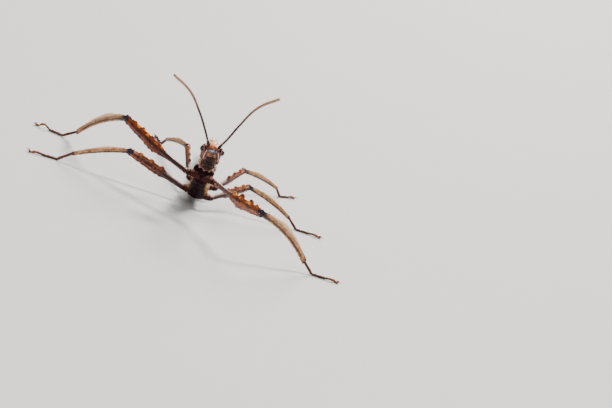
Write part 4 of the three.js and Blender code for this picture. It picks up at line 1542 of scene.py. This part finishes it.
@dataclass
class Trunk:
    """The neck, thorax, abdomen, cerci and the bases of the legs, under one skin."""

    voxel: float = 0.13
    segments: list[Segment] = field(default_factory=lambda: [*THORAX, *abdomen()])

    def tube(self, segment: Segment) -> list[bpy.types.Object]:
        """Models the plates of one segment along +Y, a little wider at its hind rim.

        Args:
            segment: the segment.

        Returns:
            Its tube and its flat margin.
        """
        rings, margin = [], []
        for t in evenly(14, -0.03, 1.0):
            width, above, below = segment.section(min(max(t, 0.0), 1.0))
            swell = 1.0 - 0.05 * (1.0 - smooth(t / 0.12)) + 0.035 * math.exp(-((t - 0.95) / 0.05) ** 2)
            swell -= 0.03 * math.exp(-((t - 0.3) / 0.04) ** 2)
            section = (width * swell * 0.97, above * swell * 0.96, below * swell * 0.96)
            rings.append(Ring(t * segment.length, *section))
        width, above, below = segment.rear
        rings.append(Ring(segment.length * 1.015, 0.85 * width, 0.85 * above, 0.85 * below))
        forms = [Bench.loft(rings, 26)]
        for t in evenly(14, 0.02, 0.99):
            width = segment.section(t)[0]
            flare = segment.lobe * ramp(t, ((0, 0), (0.7, 1), (1, 0.55)))
            margin.append(Ring(t * segment.length, width + flare - 0.03, 0.2, 0.2))
        forms.append(Bench.loft(margin, 20))
        return forms

    def thorns(self, segment: Segment) -> list[bpy.types.Object]:
        """Models the paired thorns of a segment along +Y.

        Args:
            segment: the segment.

        Returns:
            The thorns.
        """
        forms = []
        for mark in evenly(max(segment.spines, 1))[1:segment.spines + 1]:
            t = mark - 0.5 / segment.spines
            width, above, below = segment.section(t)
            for side in SIDES:
                for thorn in THORNS:
                    height = thorn.rise * (above if thorn.rise > 0.0 else below)
                    out = side * (thorn.out * width - thorn.inset)
                    foot = Vector((out, t * segment.length + thorn.shift, height))
                    way = Vector((side * thorn.way[0], *thorn.way[1:]))
                    forms.append(Bench.spine(foot, way, thorn.length * segment.spine_length, thorn.radius))
        if segment.name.startswith("abdomen"):
            above = segment.rear[1]
            for side in SIDES:
                foot = Vector((0.4 * side, 0.78 * segment.length, 0.96 * above))
                forms.append(Bench.spine(foot, Vector((0.3 * side, 0.5, 1.0)), 0.5, 0.2))
        return forms

    def wing_buds(self, segment: Segment) -> list[bpy.types.Object]:
        """Models the short flaps that will become wings.

        Args:
            segment: the segment that bears them.

        Returns:
            The two flaps.
        """
        start, length = segment.wing
        width, above, _ = segment.section(start)
        forms = []
        for side in SIDES:
            rings = []
            for t in evenly(10):
                half = ramp(t, ((0, 0.84), (0.6, 0.7), (0.9, 0.42), (1, 0.2)))
                rise = 0.8 * above + 0.25 * t - 0.1
                along = start * segment.length + t * length
                rings.append(Ring(along, half, 0.22 + rise, 0.22 - rise, side * 0.7 * width))
            forms.append(Bench.loft(rings, 16))
        return forms

    def shoulders(self, segment: Segment) -> list[bpy.types.Object]:
        """Models a hump with a smaller one behind it at each front corner of the prothorax.

        Args:
            segment: the prothorax.

        Returns:
            The humps.
        """
        (out, along, rise), radii = segment.shoulder
        humps = (((out, along, rise), radii), ((out + 0.25, along + 0.9, rise + 0.2), (0.5, 0.6, 0.5)))
        return [Bench.lump((side * x, y, z), sizes) for (x, y, z), sizes in humps for side in SIDES]

    def skin(self, finish: bpy.types.Material) -> None:
        """Models the trunk under one skin and dresses it.

        Args:
            finish: its material.
        """
        plates, thorns, bones = [], [], []
        down = (PROTHORAX_FRONT - NECK_TOP).normalized()
        reach = (PROTHORAX_FRONT - NECK_TOP).length
        folds = (
            (-0.9, 0.8), (0.1, 1.0), (0.5 * reach, 0.86),
            (0.62 * reach, 0.98), (0.8 * reach, 0.84), (reach + 0.8, 1.0),
        )
        collar = [round_ring(along, share * NECK_RADIUS) for along, share in folds]
        plates.append(Bench.place(Bench.loft(collar, 24), aim(NECK_TOP, down)))
        bones.append(Bone(NECK_TOP, down, reach))
        start = PROTHORAX_FRONT.copy()
        for segment in self.segments:
            place = aim(start, segment.back())
            flaps = self.wing_buds(segment) if segment.wing else []
            flaps += self.shoulders(segment) if segment.shoulder else []
            plates += [Bench.place(form, place) for form in self.tube(segment) + flaps]
            thorns += [Bench.place(form, place) for form in self.thorns(segment)]
            bones.append(Bone(start.copy(), segment.back(), segment.length))
            start += segment.back() * segment.length
        plates += self.cerci(start) + self.coxae()
        skin = Bench.fuse(plates, self.voxel, 3)
        write_attribute(skin, HAIRY, np.ones(len(skin.data.vertices)))
        Sower(pebble(0.2), Sowing(0.22, 5, (0.5, 1.1), keep_skin=True)).sow(skin)
        skin = Bench.fuse([skin, *thorns], self.voxel, 1)
        Bench.roughen(skin, 0.7, 0.2)
        survey(skin, bones)
        survey_bases(skin, [leg.base() for leg in LEGS], 1.3, 0.35)
        nodes = ["neck", *(segment.name for segment in self.segments), "cercus_left", "cercus_right"]
        nodes += [f"coxa_{leg.name}" for leg in LEGS]
        dress(skin, "skin_trunk", finish, nodes)

    def cerci(self, end: Vector) -> list[bpy.types.Object]:
        """Models the two short blades and the tip at the end of the abdomen.

        Args:
            end: where the abdomen ends.

        Returns:
            The forms that make them up.
        """
        forms = []
        for side in SIDES:
            out = heading(90.0 - side * 14.0 - ABDOMEN_YAW[1], 6.0)
            root = end + Vector((side * 0.62, 0.0, 0.1)) - out * 0.4
            stops = ((0, 0.3), (0.4, 0.38), (0.9, 0.24), (1, 0.14))
            rings = [round_ring(2.15 * t, ramp(t, stops)) for t in evenly(8)]
            forms.append(Bench.place(Bench.loft(rings, 14), aim(root, out)))
        tip = [Ring(y, half, 0.7 * half, 0.6 * half) for y, half in ((-1.0, 1.0), (-0.2, 1.02), (0.15, 0.6))]
        forms.append(Bench.place(Bench.loft(tip, 20), aim(end, self.segments[-1].back())))
        return forms

    def coxae(self) -> list[bpy.types.Object]:
        """Models the base of each leg.

        Returns:
            The six bases.
        """
        stops = ((0, 0.8), (0.35, 0.95), (0.62, 0.8), (0.7, 0.66), (0.85, 0.8), (1, 0.6), (1.08, 0.3))
        forms = []
        for base in (leg.base() for leg in LEGS):
            rings = [round_ring(t * base.length, ramp(t, stops)) for t in evenly(16, 0.0, 1.08)]
            forms.append(Bench.place(Bench.loft(rings, 18), aim(base.start, base.direction)))
        return forms


# ------------------------------------------------------------------ head
EYE_OUT, EYE_FRONT, EYE_HEIGHT = 2.24, 0.45, 1.13
EYE_RADII = (0.6, 0.66, 0.69)
SCAPE_OUT, SCAPE_FRONT, SCAPE_HEIGHT = 1.08, 1.0, 2.0
SCAPE_LENGTH, SCAPE_RADIUS = 1.5, 0.34
LIP_TOP = -0.1
# Painted shade: the upper lip is near-black, standing for the shadow in the mouth's gap.
SHADED_LIP = PlainFinish("upper_lip", "120809", "4c2213", 0.7, 0.35, 0.12)
# The jaws' near-black is partly their own dark colour, partly painted shade of the mouth.
JAW = PlainFinish("jaw", "0c0506", "35191a", 0.9, 0.4, 0.12)
CHIN = ChinFinish()
ANTENNA_PATHS = {
    "right": ((-1.6, -0.9, 2.5), (-4.9, -2.1, 6.8), (-8.5, -4.2, 10.6), (-12.9, -6.0, 12.75)),
    "left": ((1.0, -0.9, 2.55), (2.42, -2.1, 7.1), (4.6, -3.9, 12.55), (8.33, -6.0, 16.78)),
}


def head_place() -> Matrix:
    """Gives the placement of the head."""
    return Matrix.Translation(HEAD_CENTRE) @ HEAD_TURN.to_matrix().to_4x4()


def in_head(across: float, front: float, height: float) -> Vector:
    """Gives a point of the head's own frame."""
    return Vector((across, -front, height))


def standing() -> Matrix:
    """Turns a form along +Y so that it stands on +Z with its upper side to the front."""
    return Matrix(((1, 0, 0, 0), (0, 0, -1, 0), (0, 1, 0, 0), (0, 0, 0, 1)))


@dataclass
class Head:
    """The head capsule with its crown, the eyes and the mouth."""

    sections: Sequence[tuple[float, float, float, float]] = (
        (-1.9, 1.2, 0.7, 1.5), (-1.78, 1.72, 1.2, 1.9), (-1.45, 2.08, 1.55, 2.15), (-0.6, 2.3, 1.78, 2.55),
        (0.4, 2.38, 1.78, 2.85), (1.2, 2.26, 1.58, 3.05), (1.8, 2.0, 1.25, 3.05), (2.3, 1.45, 0.58, 2.95),
        (2.75, 0.94, -0.12, 2.7), (3.15, 0.62, -0.6, 2.35), (3.4, 0.36, -0.95, 1.95),
    )
    crown: Sequence[tuple[float, float, float, float]] = (
        (0.36, -0.95, 3.2, 0.9), (0.72, -0.15, 2.65, 0.65), (0.66, -1.8, 2.95, 0.8), (1.15, -2.2, 2.35, 0.6),
        (0.3, 0.25, 2.45, 0.35), (0.95, -1.1, 2.6, 0.4), (1.5, -1.7, 1.9, 0.35), (0.5, -2.6, 2.2, 0.4),
        (1.25, -2.5, 1.2, 0.35), (1.9, -1.5, 1.0, 0.3), (0.35, -1.4, 3.25, 0.45),
    )

    @staticmethod
    def column(sections: Sequence[tuple[float, float, float, float]], sides: int = 28) -> bpy.types.Object:
        """Lofts an upright form.

        Args:
            sections: the height, half width, and reach to the front and back of each.
            sides: how many corners each section has.

        Returns:
            The form.
        """
        rings = [Ring(height, half, front, back) for height, half, front, back in sections]
        return Bench.place(Bench.loft(rings, sides), standing())

    def skin(self, finish: bpy.types.Material) -> None:
        """Models the head capsule under one skin and dresses it.

        Args:
            finish: its material.
        """
        lumps = (  # across, front, height, and the half sizes
            (0.0, 1.35, 0.95, 0.92, 0.55, 0.75),  # frons
            (0.35, 1.05, 1.85, 0.17, 0.3, 0.5),  # ridge between the antennae
            (1.6, 1.12, 0.1, 0.3, 0.45, 1.35),  # cheek ridge
            (1.8, 0.55, -1.05, 0.34, 0.8, 0.7),  # lower cheek
            (SCAPE_OUT, SCAPE_FRONT - 0.3, SCAPE_HEIGHT - 0.4, 0.56, 0.5, 0.5),  # antennal seat
            (1.8, 0.42, 1.9, 0.42, 0.58, 0.36),  # eyebrow
            (1.75, -1.1, 0.9, 0.62, 1.1, 1.15),  # temple
            (0.55, -2.2, 1.9, 0.4, 0.8, 0.9),  # ridge on the nape
        )
        forms = [self.column(self.sections)]
        for across, front, height, *radii in lumps:
            for side in SIDES if across else (1.0,):
                forms.append(Bench.lump(in_head(side * across, front, height), tuple(radii)))
        clypeus = ((-0.12, 1.02, 1.95), (0.12, 1.1, 2.05), (0.4, 1.02, 1.98), (0.52, 0.9, 1.8))
        forms.append(self.column([(*section, -1.0) for section in clypeus], 20))
        for side in SIDES:
            eye = in_head(side * (EYE_OUT - 0.12), EYE_FRONT, EYE_HEIGHT)
            forms.append(Bench.hoop(eye, Vector((side, -0.15, 0.0)), 0.71, 0.17))
            seat = in_head(side * SCAPE_OUT, SCAPE_FRONT - 0.1, SCAPE_HEIGHT - 0.12)
            forms.append(Bench.hoop(seat, in_head(side * 0.5, 0.5, 1.0), 0.42, 0.13))
        skin = Bench.fuse(forms, 0.07, 4)
        gape = Bench.lump(in_head(0.0, 2.55, LIP_TOP - 1.2), (1.3, 1.7, 1.2))
        Bench.carve(skin, gape)
        Bench.settle(skin)
        write_attribute(skin, HAIRY, (corners_of(skin)[:, 2] > -1.0).astype(float))
        Sower(pebble(0.11), Sowing(0.55, 8, (0.5, 1.2), keep_skin=True)).sow(skin)
        thorns = []
        for out, front, height, length in self.crown:
            for side in SIDES:
                way = Vector((side * out * 0.45, -0.15 * front + 0.1, 1.0))
                thorns.append(Bench.spine(in_head(side * out, front, height - 0.1), way, length, 0.2))
        skin = Bench.fuse([skin, *thorns], 0.06, 2)
        Bench.roughen(skin, 0.35, 0.05)
        survey_plain(skin, Matrix())
        Bench.place(skin, head_place())
        dress(skin, "skin_head", finish, ["head"])

    @staticmethod
    def stalk(start: Vector, end: Vector, radii: Sequence[float]) -> bpy.types.Object:
        """Models one joint of a palp between two points.

        Args:
            start: the first point.
            end: the second point.
            radii: its half thicknesses from one to the other.

        Returns:
            The joint.
        """
        length = (end - start).length
        marks = evenly(len(radii) - 1, -0.04, 1.04)
        rings = [round_ring(t * length, radius) for t, radius in zip(marks, radii)]
        return Bench.place(Bench.loft(rings, 12), aim(start, end - start))

    def lip(self) -> bpy.types.Object:
        """Models the notched upper lip.

        Returns:
            The lip.
        """
        sections = (
            (-1.27, 0.55, 1.72, -1.32), (-1.1, 0.8, 1.9, -1.3),
            (-0.7, 0.96, 1.98, -1.28), (-0.36, 0.98, 1.95, -1.25),
        )
        lip = self.column(sections, 20)
        Bench.carve(lip, Bench.lump(in_head(0.0, 1.7, -1.36), (0.2, 0.6, 0.22)))
        return Bench.fuse([lip], 0.06, 3)

    def jaws(self) -> bpy.types.Object:
        """Models the two jaws with their teeth.

        Returns:
            The jaws.
        """
        forms = []
        for side in SIDES:
            forms.append(Bench.lump(in_head(side * 0.5, 0.35, -1.88), (0.58, 0.6, 0.92)))
            for height in (-2.35, -2.0, -1.6):
                forms.append(Bench.lump(in_head(side * 0.16, 0.72, height), (0.17, 0.24, 0.14)))
        return Bench.fuse(forms, 0.06, 2)

    def chin(self) -> bpy.types.Object:
        """Models the lower lip with its two pairs of palps.

        Returns:
            The lower lip.
        """
        sections = (
            (-3.68, 0.8, 0.05, 1.2), (-3.2, 1.42, -0.25, 1.3),
            (-2.5, 1.64, -0.45, 1.32), (-1.78, 1.7, -0.5, 1.32),
        )
        forms = [self.column(sections, 24)]
        bends = (
            ((1.2, -0.75, -2.5), (2.1, 0.2, -2.6), (1.75, 0.85, -3.2)),
            ((0.5, -0.6, -3.1), (0.75, 0.2, -3.4), (0.6, 0.5, -3.75)),
        )
        for side in SIDES:
            forms.append(Bench.lump(in_head(side * 0.9, -0.25, -2.3), (0.5, 0.5, 0.5)))
            for bend in bends:
                first, middle, last = (in_head(side * out, front, height) for out, front, height in bend)
                marks = [first.lerp(middle, t).lerp(middle.lerp(last, t), t) for t in evenly(4)]
                for start, end in zip(marks, marks[1:]):
                    forms.append(self.stalk(start, end, (0.19, 0.22, 0.27, 0.2)))
        return Bench.fuse(forms, 0.07, 2)

    def mouth(self) -> None:
        """Models and dresses the upper lip, the jaws, and the lower lip with its palps."""
        for model, name, look, node in (
            (self.lip, "upper_lip", SHADED_LIP, "labrum"),
            (self.jaws, "jaws", JAW, "mandibles"),
            (self.chin, "lower_lip_and_palps", CHIN, "labium"),
        ):
            form = model()
            survey_plain(form, Matrix())
            Bench.place(form, head_place())
            dress(form, name, look.build(), [node])

    def eyes(self, finish: bpy.types.Material) -> None:
        """Models the faceted eyes.

        Args:
            finish: their material.
        """
        for side, name in zip(SIDES, ("right", "left")):
            eye = Bench.fresh(bpy.ops.mesh.primitive_ico_sphere_add, subdivisions=5, radius=1.0)
            Bench.place(eye, Matrix.Diagonal((*EYE_RADII, 1.0)))
            with Bench.editing(eye):
                bpy.ops.mesh.tris_convert_to_quads()
                bpy.ops.mesh.inset(use_individual=True, thickness=0.007, depth=0.004)
            survey_plain(eye, Matrix.Translation((-side * EYE_OUT, EYE_FRONT, -EYE_HEIGHT)))
            centre = in_head(side * EYE_OUT, EYE_FRONT, EYE_HEIGHT)
            Bench.place(eye, head_place() @ Matrix.Translation(centre))
            dress(eye, f"faceted_eye_{name}", finish, [f"eye_{name}"])


@dataclass
class Antenna:
    """One feeler: a stout base, a short second joint and a whip of many joints."""

    name: str
    side: float
    seed: int
    joints: int = 24

    def whip(self, line: bpy.types.Object, length: float) -> bpy.types.Object:
        """Models the whip straight along +Y, then bends it along a line.

        Args:
            line: the line.
            length: its length.

        Returns:
            The whip.
        """
        rings = []
        for index in range(self.joints):
            for share, swell in ((0.0, 0.84), (0.15, 0.95), (0.85, 1.04)):
                t = (index + share) / self.joints
                thick = ramp(t, ((0, 0.25), (0.5, 0.26), (0.93, 0.33), (1, 0.3)))
                rings.append(round_ring(t * length, swell * thick))
        rings += [round_ring(0.992 * length, 0.24), round_ring(length, 0.1)]
        whip = Bench.loft(rings, 12)
        Bench.modify(whip, "CURVE", object=line, deform_axis="POS_Y")
        return whip

    @staticmethod
    def line(points: Sequence[Vector]) -> bpy.types.Object:
        """Draws a smooth line through points.

        Args:
            points: the points.

        Returns:
            The line.
        """
        line = Bench.fresh(bpy.ops.curve.primitive_bezier_curve_add)
        line.data.dimensions = "3D"
        line.data.resolution_u = 32
        spline = line.data.splines[0]
        spline.bezier_points.add(len(points) - 2)
        for corner, point in zip(spline.bezier_points, points):
            corner.co = point
            corner.handle_left_type = corner.handle_right_type = "AUTO"
        return line

    def model(self, finish: bpy.types.Material) -> None:
        """Models the antenna and dresses it.

        Args:
            finish: its material.
        """
        root = head_place() @ in_head(self.side * SCAPE_OUT, SCAPE_FRONT, SCAPE_HEIGHT)
        path = [Vector(point) for point in ANTENNA_PATHS[self.name]]
        out = path[0].normalized()
        swell = ((0, 0.7), (0.2, 1), (0.55, 1.05), (0.62, 0.66), (0.72, 0.86), (0.92, 0.88), (1, 0.6))
        base = [round_ring(t * SCAPE_LENGTH, SCAPE_RADIUS * ramp(t, swell)) for t in evenly(16)]
        points = [out * (SCAPE_LENGTH - 0.1), *path]
        line = self.line([root + point for point in points])
        length = line.data.splines[0].calc_length()
        whip = self.whip(line, length)
        bpy.data.objects.remove(line)
        stem = Bench.place(Bench.loft(base, 16), aim(root, out))
        antenna = Bench.join([whip, stem])
        Bench.settle(antenna)
        bones = [Bone(root + a, b - a, (b - a).length) for a, b in zip([Vector(), *points], points)]
        self.measure(antenna, bones)
        self.bristles(antenna, bones)
        nodes = [f"scape_{self.name}", f"antenna_{self.name}"]
        dress(antenna, f"jointed_antenna_{self.name}", finish, nodes)

    @staticmethod
    def measure(form: bpy.types.Object, bones: Sequence[Bone]) -> None:
        """Writes how far along the antenna each corner is, from 0 to 1.

        Args:
            form: the antenna or its bristles.
            bones: its stretches, from the root on.
        """
        survey(form, bones)
        flat = np.empty(len(form.data.vertices) * 3, dtype=np.float32)
        form.data.attributes[LOCAL].data.foreach_get("vector", flat)
        places = flat.reshape(-1, 3)
        lengths = np.array([bone.length for bone in bones])
        stage = np.minimum(places[:, 1].astype(int), len(bones) - 1)
        before = np.concatenate([[0.0], np.cumsum(lengths)])[stage]
        places[:, 1] = (before + (places[:, 1] - stage) * lengths[stage]) / lengths.sum()
        write_attribute(form, LOCAL, places)

    def bristles(self, antenna: bpy.types.Object, bones: Sequence[Bone]) -> None:
        """Grows short bristles all over the antenna.

        Args:
            antenna: the antenna.
            bones: its stretches, from the root on.
        """
        where = np.ones(len(antenna.data.vertices))
        sowing = Sowing(9.0, self.seed, (0.6, 1.1), 0.5)
        hair = bristle(0.2, 0.018)
        name = f"bristles_antenna_{self.name}"
        grow(antenna, name, Slot.ANTENNA, where, hair, sowing, lambda coat: self.measure(coat, bones))


# ------------------------------------------------------------------ studio
@dataclass(frozen=True)
class Lamp:
    """A far, soft lamp: its name, where its light comes from, its width, strength and colour."""

    name: str
    comes_from: Point
    width: float  # degrees
    strength: float
    colour: Point


@dataclass
class Studio:
    """The camera, the lamps, the pale floor and the soft surroundings."""

    camera_at: Point = (11.05, -377.66, 94.02)  # millimetres, in the insect's own frame
    elevation: float = 12.0
    azimuth: float = -2.0
    roll: float = 23.8
    lens: float = 100.0
    sensor: float = 36.0
    floor_half: float = 6.0  # metres
    surroundings: str = "eef0f2"
    glow: float = 0.34
    lamps: Sequence[Lamp] = (
        Lamp("key", (0.35, 0.6, 0.85), 16.0, 4.8, (1.0, 0.97, 0.93)),
        Lamp("rim", (0.05, 1.0, 0.42), 20.0, 4.4, (1.0, 0.98, 0.95)),
        Lamp("front", (0.1, -0.7, 0.8), 50.0, 1.7, (1.0, 0.98, 0.96)),
    )

    def camera(self) -> None:
        """Makes the camera, level with its own roll."""
        pitch, turn, roll = (math.radians(v) for v in (self.elevation, self.azimuth, self.roll))
        right = Vector((math.cos(turn), math.sin(turn), 0.0))
        level = Vector((-math.sin(turn), math.cos(turn), 0.0))
        ahead = level * math.cos(pitch) - UP * math.sin(pitch)
        up = right.cross(ahead)
        across = right * math.cos(roll) + up * math.sin(roll)
        over = up * math.cos(roll) - right * math.sin(roll)
        place = Matrix((across, over, -ahead)).transposed().to_4x4()
        place.translation = (Vector(self.camera_at) + frame_shift()) * MM
        data = bpy.data.cameras.new("camera")
        data.lens, data.sensor_width = self.lens, self.sensor
        data.clip_start, data.clip_end = 0.01, 50.0
        camera = bpy.data.objects.new("camera", data)
        camera.matrix_world = place
        bpy.context.scene.collection.objects.link(camera)
        bpy.context.scene.camera = camera

    def light(self) -> None:
        """Makes the lamps, each turned to the insect, and the surroundings."""
        for lamp in self.lamps:
            data = bpy.data.lights.new(lamp.name, "SUN")
            data.angle, data.energy, data.color = math.radians(lamp.width), lamp.strength, lamp.colour
            light = bpy.data.objects.new(lamp.name, data)
            light.location = Vector(lamp.comes_from).normalized()
            light.rotation_euler = Vector(lamp.comes_from).to_track_quat("Z", "Y").to_euler()
            bpy.context.scene.collection.objects.link(light)
        world = bpy.data.worlds.new("surroundings")
        world.use_nodes = True
        sky = world.node_tree.nodes["Background"].inputs
        sky["Color"].default_value = linear(self.surroundings)
        sky["Strength"].default_value = self.glow
        bpy.context.scene.world = world

    def floor(self) -> None:
        """Makes the plain pale floor."""
        size = 2.0 * self.floor_half
        floor = Bench.fresh(bpy.ops.mesh.primitive_grid_add, x_subdivisions=8, y_subdivisions=8, size=size)
        floor.name = "floor"
        floor.data.materials.append(FloorFinish().build())


def main() -> None:
    """Builds the studio and the insect, piece by piece."""
    logging.basicConfig(level=logging.INFO, format="%(name)s: %(message)s")
    studio = Studio()
    studio.camera()
    studio.light()
    studio.floor()
    fore_right = LegFinish("fore_right_leg").build()
    # Painted light: the fore-left leg gets a lighter, warmer copy of the leg finish, as the side the light
    # falls on.
    paler = {"blade": "94481c", "glow": "f09a34", "under": "a8756a", "shaft": "64403e"}
    fore_left = LegFinish("fore_left_leg", **paler).build()
    rear = LegFinish("rear_leg", blade="6f3d28", glow="a8622c").build()
    claw = ClawFinish().build()
    for leg in LEGS:
        leg.skin({"fore_right": fore_right, "fore_left": fore_left}.get(leg.name, rear))
        leg.claws(claw)
    Trunk().skin(BodyFinish().build())
    head = Head()
    head.skin(HeadFinish().build())
    head.mouth()
    head.eyes(EyeFinish().build())
    feeler = AntennaFinish().build()
    Antenna("right", -1.0, 31).model(feeler)
    Antenna("left", 1.0, 32).model(feeler)
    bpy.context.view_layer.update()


if __name__ == "__main__":
    main()
